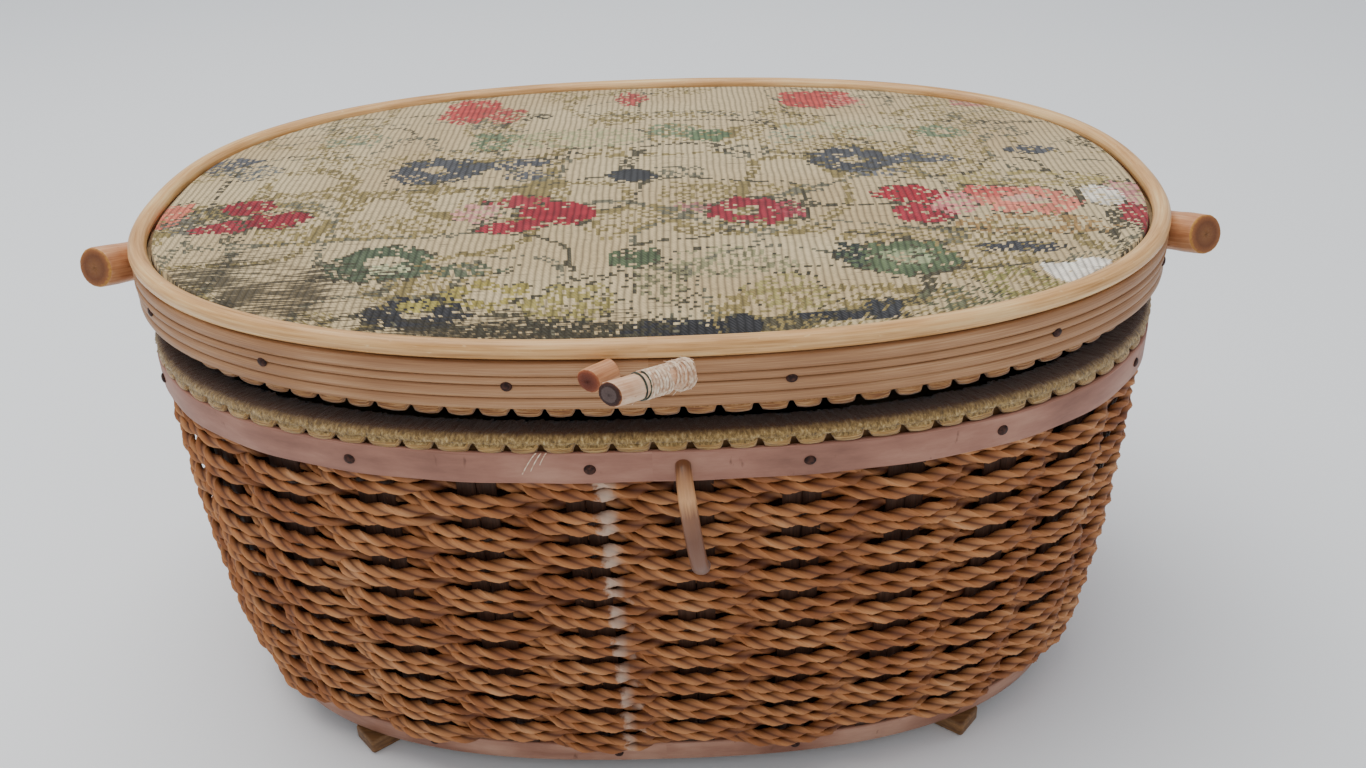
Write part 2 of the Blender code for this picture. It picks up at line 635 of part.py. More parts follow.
def tray_outline(sign):
    """The half-oval that one tray fills, as (x, y) points."""
    inset = ROOM_INSET + TRAY_CLEARANCE
    inner = TRAY_SPACING / 2
    found = []
    for i in range(-SIDES // 4, SIDES // 4 + 1):
        x, y = oval_point(*wall_half(TRAY_FLOOR_Z, inset), BODY_POWER, 2 * math.pi * i / SIDES)
        found.append((sign * max(x, inner), y))
    return found


def prism(name, outline, bottom, height, look):
    bm = bmesh.new()
    face = bm.faces.new([bm.verts.new((x, y, bottom)) for x, y in outline])
    moved = bmesh.ops.extrude_face_region(bm, geom=[face])["geom"]
    verts = [item for item in moved if isinstance(item, bmesh.types.BMVert)]
    bmesh.ops.translate(bm, verts=verts, vec=(0, 0, height))
    return add(name, bm, look)


def make_tray(name, sign, looks):
    bm = bmesh.new()
    face = bm.faces.new([bm.verts.new((x, y, TRAY_FLOOR_Z)) for x, y in tray_outline(sign)])
    if face.normal.z > 0:
        face.normal_flip()
    moved = bmesh.ops.extrude_face_region(bm, geom=[face])["geom"]
    verts = [item for item in moved if isinstance(item, bmesh.types.BMVert)]
    bmesh.ops.translate(bm, verts=verts, vec=(0, 0, TRAY_HEIGHT))
    bmesh.ops.recalc_face_normals(bm, faces=bm.faces)
    top = max(bm.faces, key=lambda item: item.calc_center_median().z)
    bmesh.ops.inset_region(bm, faces=[top], thickness=TRAY_WALL, use_even_offset=True)
    moved = bmesh.ops.extrude_face_region(bm, geom=[top])["geom"]
    verts = [item for item in moved if isinstance(item, bmesh.types.BMVert)]
    bmesh.ops.translate(bm, verts=verts, vec=(0, 0, TRAY_BOTTOM - TRAY_HEIGHT))
    if top.is_valid:
        bmesh.ops.delete(bm, geom=[top], context="FACES_ONLY")
    return add(name, bm, looks["tray"])


def make_divider(name, sign, look):
    """A T of thin board: one across the tray and one out to its round end."""
    half_x, half_y = wall_half(TRAY_FLOOR_Z, ROOM_INSET + TRAY_CLEARANCE + TRAY_WALL + GAP)
    middle = half_x * DIVIDER_PLACE
    thick = DIVIDER_THICKNESS / 2
    cross = half_y * (1 - ((middle + thick) / half_x) ** BODY_POWER) ** (1 / BODY_POWER) - GAP
    end = half_x - 2 * GAP
    outline = [(middle - thick, -cross), (middle + thick, -cross), (middle + thick, -thick),
               (end, -thick), (end, thick), (middle + thick, thick), (middle + thick, cross),
               (middle - thick, cross)]
    bottom = TRAY_FLOOR_Z + TRAY_BOTTOM + GAP
    top = TRAY_FLOOR_Z + TRAY_HEIGHT - DIVIDER_DROP
    return prism(name, [(sign * x, y) for x, y in outline], bottom, top - bottom, look)


def make_ribbon(name, sign, look):
    """A ribbon loop glued inside the tray's straight wall, to lift it by."""
    wall = TRAY_SPACING / 2 + TRAY_WALL + GAP
    near = wall + RIBBON_THICKNESS / 2
    edge = TRAY_FLOOR_Z + TRAY_HEIGHT
    top = edge + RIBBON_RISE
    path = [(near, edge - RIBBON_GLUED)]
    path += arc(near + RIBBON_BEND, top - RIBBON_BEND - RIBBON_THICKNESS / 2, RIBBON_BEND, 180, 0, 8)
    path += [(near + 2 * RIBBON_BEND, edge - RIBBON_FREE)]
    made = strip(name, path, RIBBON_THICKNESS, -RIBBON_WIDTH / 2, RIBBON_WIDTH, look)
    made.data.transform(Matrix.Rotation(-sign * math.pi / 2, 4, "Z"))
    return made


def main():
    for old in list(bpy.data.objects):
        bpy.data.objects.remove(old)
    looks = {
        "wood": material("wood", "7a5433", 0.6),
        "cord": material("paper_cord", "b0733c", 0.6),
        "stake": material("stake_reed", "8a5a34", 0.6),
        "pink_reed": material("pink_reed", "b08c7e", 0.5),
        "pale_reed": material("pale_reed", "c9a582", 0.5),
        "golden_reed": material("golden_reed", "dbb481", 0.45),
        "brown_reed": material("brown_reed", "a8714a", 0.5),
        "gold_braid": material("gold_braid", "a98546", 0.5),
        "tan_braid": material("tan_braid", "bd8748", 0.6),
        "satin": material("satin", "1d2a3c", 0.35),
        "tapestry": material("tapestry", "b8a27e", 0.9),
        "wadding": material("wadding", "e8e2d4", 0.95),
        "card": material("card", "a58b66", 0.8),
        "thread": material("thread", "d9c9b0", 0.8),
        "tray": material("tray_board", "31425c", 0.6),
        "divider": material("divider_board", "c8b48e", 0.7),
        "ribbon": material("ribbon", "1d2a3c", 0.4),
        "nail": material("nail", "3a2018", 0.5, 0.6),
    }
    hinge = empty("lid_hinge", (0, HINGE_Y, HINGE_Z))
    fixed = make_base(looks) + make_wall(looks)
    fixed += [make_ledge(looks["divider"]), make_keeper(looks["golden_reed"])]
    straps, lid_straps = make_hinges(looks)
    fixed += straps
    pivot, toggle, stub = make_toggle(looks)
    lid = make_lid(looks) + make_pegs(looks) + lid_straps + [stub]
    turning = empty("toggle_pivot", pivot, hinge)
    for piece in lid:
        hang(piece, hinge)
    for piece in toggle:
        hang(piece, turning)
    movers = [hinge]
    for end, sign in (("left", -1), ("right", 1)):
        slide = empty(f"tray_slide_{end}", (sign * TOP_HALF_X / 2, 0, TRAY_FLOOR_Z))
        for piece in (
            make_tray(f"tray_{end}", sign, looks),
            make_divider(f"tray_divider_{end}", sign, looks["divider"]),
            make_ribbon(f"tray_ribbon_{end}", sign, looks["ribbon"]),
        ):
            hang(piece, slide)
        movers.append(slide)
    centre(fixed + movers)


def centre(roots):
    """Stand the basket over the origin, halfway between its front and back."""
    bpy.context.view_layer.update()
    reach = []
    for item in bpy.data.objects:
        if item.type != "EMPTY":
            reach += [(item.matrix_world @ Vector(corner)).y for corner in item.bound_box]
    middle = empty("basket_middle", (0, 0, 0))
    for item in roots:
        hang(item, middle)
    middle.location.y = -(min(reach) + max(reach)) / 2


main()
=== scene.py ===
# %% [markdown]
# # A wicker sewing basket with a tapestry lid
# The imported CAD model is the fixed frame: it says where every piece sits and how it moves. This lesson
# lays the finish over it: twisted cord woven round flat stakes, reed hoops nailed on, a gold braid, a
# stretched tapestry and a whipped toggle. Sizes are in millimetres until they meet Blender.

# %% Load the frame
import math

import bmesh
import bpy
import numpy as np
from mathutils import Matrix, Vector


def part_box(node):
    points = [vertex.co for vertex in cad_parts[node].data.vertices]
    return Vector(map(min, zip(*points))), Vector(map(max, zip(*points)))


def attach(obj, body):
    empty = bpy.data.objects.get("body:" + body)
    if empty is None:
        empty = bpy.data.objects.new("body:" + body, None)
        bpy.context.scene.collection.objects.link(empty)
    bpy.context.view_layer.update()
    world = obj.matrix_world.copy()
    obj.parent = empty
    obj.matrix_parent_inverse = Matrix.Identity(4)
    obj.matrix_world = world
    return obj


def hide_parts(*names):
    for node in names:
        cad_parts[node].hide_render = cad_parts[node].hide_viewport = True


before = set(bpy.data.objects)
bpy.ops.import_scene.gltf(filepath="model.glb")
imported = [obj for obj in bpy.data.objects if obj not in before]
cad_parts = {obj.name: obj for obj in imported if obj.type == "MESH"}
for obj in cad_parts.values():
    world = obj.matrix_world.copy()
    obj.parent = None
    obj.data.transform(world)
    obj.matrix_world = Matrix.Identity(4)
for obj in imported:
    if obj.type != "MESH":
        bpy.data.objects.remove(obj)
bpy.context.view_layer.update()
MM = 0.001
chance = np.random.default_rng(29)

# %% [markdown]
# ## Camera
# The basket is seen from the front and a little above, at arm's length. The lens is a plain 35 mm one,
# and the camera leans a touch to one side, as a hand-held one does.

# %% Set up the camera
camera = bpy.data.objects.new("camera", bpy.data.cameras.new("camera"))
camera.data.lens = 35.4
camera.data.sensor_width = 36.0
CAMERA_PLACE = Vector((7.0, -327.3, 258.4)) * MM
tilt = Matrix.Rotation(math.radians(60.95), 4, "X") @ Matrix.Rotation(-0.030, 4, "Z")
camera.matrix_world = Matrix.Translation(CAMERA_PLACE) @ tilt
bpy.context.scene.collection.objects.link(camera)
bpy.context.scene.camera = camera

# %% [markdown]
# ## Two ovals
# The basket and its lid are both fat ovals, squarer than an ellipse. Everything runs round them, so each
# gets a function from a share of the way round (0 at the front, rising towards +X) to a point. Equal
# shares are equal lengths, so stakes, scallops and nails space out as a maker would space them.

# %% Ovals


def evenly_round(half_x, half_y, power):
    """A function from shares of the way round to unit x and y, and the length round in mm."""
    angle = np.linspace(-math.pi / 2, 1.5 * math.pi, 8001)
    x = np.sign(np.cos(angle)) * np.abs(np.cos(angle)) ** (2 / power)
    y = np.sign(np.sin(angle)) * np.abs(np.sin(angle)) ** (2 / power)
    steps = np.hypot(np.diff(x * half_x), np.diff(y * half_y))
    run = np.concatenate([[0.0], np.cumsum(steps)])

    def units(share):
        share = np.mod(share, 1.0) * run[-1]
        return np.interp(share, run, x), np.interp(share, run, y)

    return units, run[-1]


def half_and_middle(node):
    low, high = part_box(node)
    return (high - low) / 2 / MM, (high + low) / 2 / MM


TOP_HALF, BODY_MIDDLE = half_and_middle("top_band")
BOARD_HALF = half_and_middle("base_board")[0]
BOARD_INSET = 1.9
RIM_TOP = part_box("rim_gimp")[1].z / MM
BASE_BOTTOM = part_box("base_band")[0].z / MM
BASE_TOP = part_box("base_band")[1].z / MM
BAND_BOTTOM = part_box("top_band")[0].z / MM
BAND_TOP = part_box("top_band")[1].z / MM
LID_HALF, LID_MIDDLE = half_and_middle("lid_reed_4")
LID_HALF += Vector((0.2, 0.2, 0.0))
body_units, BODY_ROUND = evenly_round(TOP_HALF.x, TOP_HALF.y, 2.5)
lid_units, LID_ROUND = evenly_round(LID_HALF.x, LID_HALF.y, 2.36)


def on_wall(share, inset, z, oval_z=None):
    """Points on the basket's wall, which draws in towards its base as a quarter ellipse."""
    down = (RIM_TOP - (z if oval_z is None else oval_z)) / (RIM_TOP - BASE_BOTTOM)
    taper = 1 - np.sqrt(np.clip(1 - down * down, 0, 1))
    x, y = body_units(share)
    half_x = TOP_HALF.x + (BOARD_HALF.x + BOARD_INSET - TOP_HALF.x) * taper - inset
    half_y = TOP_HALF.y + (BOARD_HALF.y + BOARD_INSET - TOP_HALF.y) * taper - inset
    return np.stack([x * half_x, y * half_y + BODY_MIDDLE.y, z + 0 * x], axis=-1) * MM


def on_base(share, inset, z):
    return on_wall(share, inset, z, BASE_BOTTOM)


def on_lid(share, inset, z):
    x, y = lid_units(share)
    y = y * (LID_HALF.y - inset) + LID_MIDDLE.y
    return np.stack([x * (LID_HALF.x - inset), y, z + 0 * x], axis=-1) * MM


print(f"round the basket {BODY_ROUND:.0f} mm, round the lid {LID_ROUND:.0f} mm")

# %% [markdown]
# ## Building materials from nodes
# Every finish below is a Principled shader with a few pattern nodes in front. Colours are written as the
# hex values a paint chart uses, and turned to linear light once, here. Patterns on hoops and cords read
# the piece's own UV map, which is laid out in millimetres: along the reed in U, across it in V. A noise
# scale of 1 is then one blotch per millimetre.

# %% Node helpers


def colour(code):
    parts = [int(code[i:i + 2], 16) / 255 for i in (0, 2, 4)]
    linear = [c / 12.92 if c <= 0.04045 else ((c + 0.055) / 1.055) ** 2.4 for c in parts]
    return (*linear, 1.0)


def add_node(tree, kind, inputs=None, **settings):
    """One node, with its settings, and its inputs set to a value or linked to another node's output."""
    made = tree.nodes.new(kind)
    for key, value in settings.items():
        setattr(made, key, value)
    for key, value in (inputs or {}).items():
        if isinstance(value, bpy.types.NodeSocket):
            tree.links.new(value, made.inputs[key])
        else:
            made.inputs[key].default_value = value
    return made


def blank(name, roughness, **settings):
    """A new material: its tree and its Principled shader."""
    made = bpy.data.materials.new(name)
    made.use_nodes = True
    shader = made.node_tree.nodes["Principled BSDF"]
    shader.inputs["Roughness"].default_value = roughness
    for key, value in settings.items():
        shader.inputs[key.replace("_", " ")].default_value = value
    return made, made.node_tree, shader


def paint_ramp(ramp_node, stops):
    """Fill a Color Ramp with (position, hex) stops."""
    stops_made = ramp_node.color_ramp.elements
    while len(stops_made) < len(stops):
        stops_made.new(0.5)
    for element, (position, code) in zip(stops_made, stops):
        element.position = position
        element.color = colour(code)
    return ramp_node


def reed_finish(name, codes, grain, blotch, roughness, depth=0.12, worn=None, block=None):
    """Split cane or reed: fine streaks along it, slow changes of tone, and a low waxy shine.
    grain is the width of a streak in mm and blotch the length of a tone change. A block has no UV map laid
    along its grain, so it reads Object coordinates, in mm, with the grain along X or Z."""
    made, tree, shader = blank(name, roughness, Specular_IOR_Level=0.35)
    coords = add_node(tree, "ShaderNodeTexCoord")
    uv = coords.outputs["UV"]
    if block:
        turn = (0, math.pi / 2, 0) if block == "Z" else (0, 0, 0)
        uv = add_node(tree, "ShaderNodeMapping", {"Vector": coords.outputs["Object"], "Rotation": turn,
                                                  "Scale": (1 / MM, 1 / MM, 1 / MM)}).outputs[0]
    long_way = add_node(tree, "ShaderNodeMapping", {"Vector": uv, "Scale": (1 / 22, 1 / grain, 1)})
    streaks = add_node(tree, "ShaderNodeTexNoise", {"Vector": long_way.outputs[0], "Scale": 1.0, "Detail": 5.0,
                                                    "Roughness": 0.65})
    slow = add_node(tree, "ShaderNodeMapping", {"Vector": uv, "Scale": (1 / blotch, 1 / 9, 1)})
    tone = add_node(tree, "ShaderNodeTexNoise", {"Vector": slow.outputs[0], "Scale": 1.0, "Detail": 3.0})
    both = add_node(tree, "ShaderNodeMix", {0: 0.5, 2: streaks.outputs[0], 3: tone.outputs[0]})
    ramp = paint_ramp(add_node(tree, "ShaderNodeValToRGB", {0: both.outputs[0]}),
                      list(zip((0.36, 0.5, 0.64), codes)))
    base = ramp.outputs[0]
    if worn:
        specks = add_node(tree, "ShaderNodeMapping", {"Vector": uv, "Scale": (1 / 2.6, 1 / 1.3, 1)})
        marks = add_node(tree, "ShaderNodeTexNoise", {"Vector": specks.outputs[0], "Scale": 1.0, "Detail": 4.0})
        mask = add_node(tree, "ShaderNodeMapRange", {0: marks.outputs[0], 1: 0.66, 2: 0.74})
        base = add_node(tree, "ShaderNodeMix", {0: mask.outputs[0], 6: base, 7: colour(worn)},
                        data_type="RGBA").outputs[2]
    tree.links.new(base, shader.inputs["Base Color"])
    bump = add_node(tree, "ShaderNodeBump", {"Height": streaks.outputs[0], "Strength": 0.5,
                                             "Distance": depth * MM})
    tree.links.new(bump.outputs[0], shader.inputs["Normal"])
    return made


# %% [markdown]
# ## The reeds
# One recipe covers all the split reed, with its own colours for each hoop. The two nailed bands took a
# pinkish dye, the lid's four half-round reeds are paler, and its top reed is a peeled golden one.

# %% Reed materials
band_look = reed_finish("dyed_pink_reed", ("7f5647", "9b6c5a", "b1846f"), 0.9, 35, 0.52, 0.05, "744c3d")
pale_look = reed_finish("pale_half_round_reed", ("895f40", "a67a54", "c59c74"), 0.5, 60, 0.46, 0.08)
golden_look = reed_finish("peeled_golden_reed", ("ad7c45", "d9a96f", "f0ce94"), 0.7, 45, 0.34, 0.1, "e0bb86")
# The stake browns are darker than the reed itself: painted shade for the slits they show through.
shaded_stake_look = reed_finish("flat_stake_reed", ("2c1a12", "452c1e", "5f4131"), 0.5, 30, 0.62, 0.08)
wood_look = reed_finish("oiled_beech", ("573a24", "71502f", "8a653e"), 1.2, 25, 0.55, 0.1, block="X")
strap_look = reed_finish("bent_reed_strap", ("7c4f30", "9a6a45", "b9885f"), 0.6, 30, 0.5, 0.1, block="Z")
rod_look = reed_finish("hinge_rod_reed", ("b98d58", "d6b183", "eed6ab"), 0.6, 20, 0.42, 0.08, block="X")
card_look = reed_finish("grey_pasteboard", ("8c7658", "a58b66", "b79d78"), 2.0, 12, 0.85, 0.05, block="X")
thin_board_look = reed_finish("sanded_limewood", ("ad976f", "c4ae88", "d8c5a2"), 0.7, 40, 0.6, 0.05, block="X")

# %% [markdown]
# ## A skin round an oval
# A band, a reed or a braid is a grid whose long side runs once round the oval and whose short side runs
# round its section. Making the grid flat, then moving its points, keeps the faces square and gives the
# UV map for nothing.

# %% Grid helpers


def solid(name, bm, look, body, slot, *nodes, smooth=40.0):
    """Turn a bmesh into a piece that rides on a body and stands for CAD nodes."""
    mesh = bpy.data.meshes.new(name)
    bm.to_mesh(mesh)
    bm.free()
    return finished(name, mesh, look, body, slot, *nodes, smooth=smooth)


def finished(name, mesh, look, body, slot, *nodes, smooth=40.0):
    mesh.shade_smooth()
    mesh.set_sharp_from_angle(angle=math.radians(smooth))
    mesh.materials.append(look)
    piece = bpy.data.objects.new(name, mesh)
    bpy.context.scene.collection.objects.link(piece)
    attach(piece, body)
    if nodes:
        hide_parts(*nodes)
    return piece


def skin(along, across, where, length, girth):
    """A bmesh grid: where(u, v) gives its points, with u along it and v across it, both 0 to 1."""
    bm = bmesh.new()
    layer = bm.loops.layers.uv.new("UVMap")
    bmesh.ops.create_grid(bm, x_segments=along, y_segments=across, size=0.5, calc_uvs=True)
    flat = np.array([vert.co for vert in bm.verts]) + 0.5
    for face in bm.faces:
        for loop in face.loops:
            loop[layer].uv = ((loop.vert.co.x + 0.5) * length, (loop.vert.co.y + 0.5) * girth)
    for vert, place in zip(bm.verts, where(flat[:, 0], flat[:, 1])):
        vert.co = place
    bmesh.ops.remove_doubles(bm, verts=bm.verts, dist=0.002 * MM)
    bmesh.ops.recalc_face_normals(bm, faces=bm.faces)
    return bm


def hoop(along, section, place, length, shift=None):
    """A closed section of (inset, z) points swept once round an oval. shift(u, v) adds to both."""
    outline = np.array(section + section[:1], float)
    run = np.concatenate([[0.0], np.cumsum(np.hypot(*np.diff(outline, axis=0).T))])
    knots = np.arange(len(outline)) / len(section)

    def where(u, v):
        inset = np.interp(v, knots, outline[:, 0])
        z = np.interp(v, knots, outline[:, 1])
        if shift:
            more_inset, more_z = shift(u, v, inset, z)
            inset, z = inset + more_inset, z + more_z
        return place(u, inset, z)

    return skin(along, len(section), where, length, run[-1])


def drift(spacing, size, length):
    """A smooth random wander round an oval: one random value each spacing mm, joined by a cosine."""
    count = max(3, int(length / spacing))
    values = chance.uniform(-size, size, count)

    def at(share):
        place = np.mod(share, 1.0) * count
        low = np.floor(place).astype(int)
        blend = (1 - np.cos(math.pi * (place - low))) / 2
        return values[low % count] * (1 - blend) + values[(low + 1) % count] * blend

    return at


def rounded(inset, bottom, top, thickness, radius, steps=3):
    """A flat strip's section with its long edges eased, from the inner bottom corner round."""
    corners = [(inset + thickness - radius, bottom + radius, -90, 0), (inset + thickness - radius, top - radius, 0, 90),
               (inset + radius, top - radius, 90, 180), (inset + radius, bottom + radius, 180, 270)]
    found = []
    for x, z, first, last in corners:
        for step in range(steps + 1):
            angle = math.radians(first + (last - first) * step / steps)
            found.append((x + radius * math.cos(angle), z + radius * math.sin(angle)))
    return found


# %% [markdown]
# ## The weave
# Two strands of twisted paper cord go round together, in front of one stake and behind the next. There
# are 29 stakes, an odd number, so the same pair of cords passes on the other side each time it comes
# round, and one pair climbs from the base to the band. Where a pair crosses a stake it spreads, and
# between stakes it packs down, which leaves a dark slit beside every crossing. The twist has to be real
# shape, because it is what catches the light, so each cord is a curve with a two-ply section that turns.

# %% Weave sizes
STAKES = 29
FIRST_STAKE = 9.0 / BODY_ROUND  # the stake behind the keeper
ROW_PITCH = 4.55
FIRST_ROW = BASE_TOP + 2.7
ROWS = 19
CORD_RADIUS = 1.58
LAY = 13.6  # length of one full twist
CORD_STEP = 1.15
STEP_UP = 0.06  # the share of each round, at the back, in which the pair climbs to its next row
MID_INSET = 3.4
SWING = 2.05


def swing(share):
    """1 in front of a stake, -1 behind one."""
    wave = np.cos(math.pi * STAKES * (share - FIRST_STAKE))
    return np.sign(wave) * np.abs(wave) ** 0.65


def cord_path(side, first, last):
    """Points of one strand between two rounds, and its twist. side is -1 for the lower strand."""
    rounds = np.arange(first, last, CORD_STEP / BODY_ROUND)
    part = rounds - np.floor(rounds)
    climb = np.clip((part - 1 + STEP_UP) / STEP_UP, 0, 1)
    level = np.floor(rounds) + climb * climb * (3 - 2 * climb)
    share = rounds + 0.5
    front = swing(share)
    wander = drift(14, 1.0, BODY_ROUND * ROWS)
    waver = drift(23, 1.0, BODY_ROUND * ROWS)
    fraction = rounds / ROWS
    spread = 1.2 + 0.34 * np.clip(front, 0, 1) + 0.13 * wander(fraction)
    inset = MID_INSET - SWING * front + 0.22 * waver(fraction) + 0.12 * side
    z = FIRST_ROW + level * ROW_PITCH + side * spread + 0.22 * waver(fraction + 0.31)
    twist = 2 * math.pi * rounds * BODY_ROUND / LAY + side * 1.1 + 0.7 * wander(fraction + 0.17)
    return on_wall(share, inset, z), twist, front


# %% [markdown]
# ### Paper cord
# Twisted kraft paper: each ply is a ribbon rolled on itself, so fine creases run along it, and its orange
# dye varies unevenly. The grooves between plies, and the lengths that pass behind a stake, are darkened to
# brown as painted shade. A row of glue once ran down the front, and has dried white on the crests that it
# touched.

# %% Paper cord material
cord_look, tree, shader = blank("twisted_kraft_paper_cord", 0.62, Specular_IOR_Level=0.3)
coords = add_node(tree, "ShaderNodeTexCoord")
crease_way = add_node(tree, "ShaderNodeMapping", {"Vector": coords.outputs["UV"], "Scale": (1 / 5, 1 / 0.35, 1)})
creases = add_node(tree, "ShaderNodeTexNoise", {"Vector": crease_way.outputs[0], "Scale": 1.0, "Detail": 4.0,
                                                "Roughness": 0.7})
dye = add_node(tree, "ShaderNodeTexNoise", {"Vector": coords.outputs["Object"], "Scale": 1 / (16 * MM),
                                            "Detail": 3.0})
tone = add_node(tree, "ShaderNodeMix", {0: 0.45, 2: creases.outputs[0], 3: dye.outputs[0]})
paper = paint_ramp(add_node(tree, "ShaderNodeValToRGB", {0: tone.outputs[0]}),
                   [(0.34, "7c4627"), (0.46, "a4683c"), (0.56, "bd8150"), (0.68, "d3a073")])
# Painted shade: the grooves between plies and the lengths behind a stake are mixed towards dark brown.
groove_shade = add_node(tree, "ShaderNodeAttribute", attribute_name="groove_shade")
shaded = add_node(tree, "ShaderNodeMix", {0: groove_shade.outputs["Fac"], 6: paper.outputs[0], 7: colour("542b18")},
                  data_type="RGBA")
axes = add_node(tree, "ShaderNodeSeparateXYZ", {0: coords.outputs["Object"]})
lean = add_node(tree, "ShaderNodeMapRange", {0: axes.outputs["Z"], 1: 0.015, 2: 0.098, 3: -7.2 * MM, 4: -10.4 * MM})
off_line = add_node(tree, "ShaderNodeMath", {0: axes.outputs["X"], 1: lean.outputs[0]}, operation="SUBTRACT")
distance = add_node(tree, "ShaderNodeMath", {0: off_line.outputs[0]}, operation="ABSOLUTE")
ragged = add_node(tree, "ShaderNodeTexNoise", {"Vector": coords.outputs["Object"], "Scale": 1 / (1.6 * MM),
                                               "Detail": 3.0})
edge = add_node(tree, "ShaderNodeMapRange", {0: ragged.outputs[0], 1: 0.3, 2: 0.7, 3: 1.7 * MM, 4: 3.9 * MM})
depth_in = add_node(tree, "ShaderNodeMath", {0: edge.outputs[0], 1: distance.outputs[0]}, operation="SUBTRACT")
inside = add_node(tree, "ShaderNodeMapRange", {0: depth_in.outputs[0], 1: 0.0, 2: 1.3 * MM})
front_side = add_node(tree, "ShaderNodeMath", {0: axes.outputs["Y"], 1: 0.0}, operation="LESS_THAN")
glue = add_node(tree, "ShaderNodeAttribute", attribute_name="glue")
glued = add_node(tree, "ShaderNodeMath", {0: inside.outputs[0], 1: front_side.outputs[0]}, operation="MULTIPLY")
glued = add_node(tree, "ShaderNodeMath", {0: glued.outputs[0], 1: glue.outputs["Fac"]}, operation="MULTIPLY")
glued = add_node(tree, "ShaderNodeMath", {0: glued.outputs[0], 1: 0.78}, operation="MULTIPLY")
final = add_node(tree, "ShaderNodeMix", {0: glued.outputs[0], 6: shaded.outputs[2], 7: colour("c6ae9a")},
                 data_type="RGBA")
tree.links.new(final.outputs[2], shader.inputs["Base Color"])
bump = add_node(tree, "ShaderNodeBump", {"Height": creases.outputs[0], "Strength": 0.7, "Distance": 0.25 * MM})
tree.links.new(bump.outputs[0], shader.inputs["Normal"])

# %% Weave the wall
PLY_POINTS = 12
GROOVE_PINCH = 0.41
ply_angle = np.arange(PLY_POINTS) * 2 * math.pi / PLY_POINTS
ply_radius = CORD_RADIUS * (1 - GROOVE_PINCH * np.abs(np.sin(ply_angle)) ** 1.6)
section = bpy.data.curves.new("two_ply_section", "CURVE")
outline = section.splines.new("POLY")
outline.points.add(PLY_POINTS - 1)
for knot, angle, radius in zip(outline.points, ply_angle, ply_radius):
    knot.co = (radius * math.cos(angle) * MM, radius * math.sin(angle) * MM, 0, 1)
outline.use_cyclic_u = True
section_piece = bpy.data.objects.new("two_ply_section", section)


def cord_mesh(name, strands):
    """Curves with the two-ply section, made a mesh, with a painted shade for each point, from how deep it lies, as an
    attribute.
    """
    curve = bpy.data.curves.new(name, "CURVE")
    curve.dimensions = "3D"
    curve.twist_mode = "Z_UP"
    curve.bevel_mode = "OBJECT"
    curve.bevel_object = section_piece
    curve.use_fill_caps = True
    for path, twist, front in strands:
        spline = curve.splines.new("POLY")
        spline.points.add(len(path) - 1)
        spline.points.foreach_set("co", np.column_stack([path, np.ones(len(path))]).ravel())
        spline.points.foreach_set("tilt", np.mod(twist, 2 * math.pi))
    holder = bpy.data.objects.new(name, curve)
    bpy.context.scene.collection.objects.link(holder)
    mesh = bpy.data.meshes.new_from_object(holder.evaluated_get(bpy.context.evaluated_depsgraph_get()))
    bpy.data.objects.remove(holder)
    fronts = np.concatenate([front for path, twist, front in strands])
    # How much painted shade each point gets: most in the ply grooves, more where the cord passes behind a stake.
    painted_shade_amount = np.clip(np.tile(np.abs(np.sin(ply_angle)) ** 6, len(fronts)) * 0.9
                   + np.repeat(np.clip(-fronts, 0, 1), PLY_POINTS) * 0.5, 0, 1)
    for title, values in (("groove_shade", painted_shade_amount), ("glue", np.repeat(np.clip(fronts * 2, 0, 1), PLY_POINTS))):
        layer = mesh.attributes.new(title, "FLOAT", "POINT")
        layer.data.foreach_set("value", np.resize(values, len(mesh.vertices)))
    return mesh


GROUPS = 5
woven = []
edges = np.linspace(0, ROWS, GROUPS + 1)
for number, (first, last) in enumerate(zip(edges[:-1], edges[1:]), 1):
    strands = [cord_path(side, first, last) for side in (-1, 1)]
    mesh = cord_mesh(f"weave_rows_{number}", strands)
    print(mesh.name, len(mesh.vertices), "points,", [layer.name for layer in mesh.uv_layers])
    woven.append(mesh)
for mesh in woven:
    piece = finished(mesh.name, mesh, cord_look, "basket", "paper_cord", "woven_wall", smooth=60)

# %% [markdown]
# ## Stakes
# Each stake is two flat reeds side by side, 9 mm wide together, standing in the base and running up
# behind the band. Only glimpses show through the slits, and just under the band. A flat grid for each
# reed is wrapped on the wall, then Solidify gives it its 1.2 mm.

# %% Stakes
STAKE_REED = 4.4
STAKE_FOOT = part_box("stakes")[0].z / MM
STAKE_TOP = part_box("stakes")[1].z / MM
stakes = bmesh.new()
for index in range(STAKES):
    for side in (-1, 1):
        middle = FIRST_STAKE + index / STAKES + side * (STAKE_REED / 2 + 0.15) / BODY_ROUND
        lean_in = chance.uniform(-0.25, 0.25)

        def on_stake(u, v, middle=middle, lean_in=lean_in):
            share = middle + (v - 0.5) * STAKE_REED / BODY_ROUND
            return on_wall(share, 4.1 + lean_in * u, STAKE_FOOT + u * (STAKE_TOP - STAKE_FOOT))

        reed = skin(14, 2, on_stake, STAKE_TOP - STAKE_FOOT, STAKE_REED)
        held = bpy.data.meshes.new("reed")
        reed.to_mesh(held)
        reed.free()
        stakes.from_mesh(held)
        bpy.data.meshes.remove(held)
bmesh.ops.recalc_face_normals(stakes, faces=stakes.faces)
stakes = solid("flat_stakes", stakes, shaded_stake_look, "basket", "stake_reed", "stakes")
wall = stakes.modifiers.new("reed thickness", "SOLIDIFY")
wall.thickness = 1.2 * MM
wall.offset = 0.0
print("stakes:", STAKES, "pairs,", len(stakes.data.polygons), "faces")

# %% [markdown]
# ## Bands and tacks
# A dyed flat band is nailed round the top of the weave and another round the base. A band is not quite
# true: it bulges a little over each stake. The tacks are dark, and sit in it rather than on it.

# %% Bands
FINE = 348  # steps round a hoop: twelve to each stake


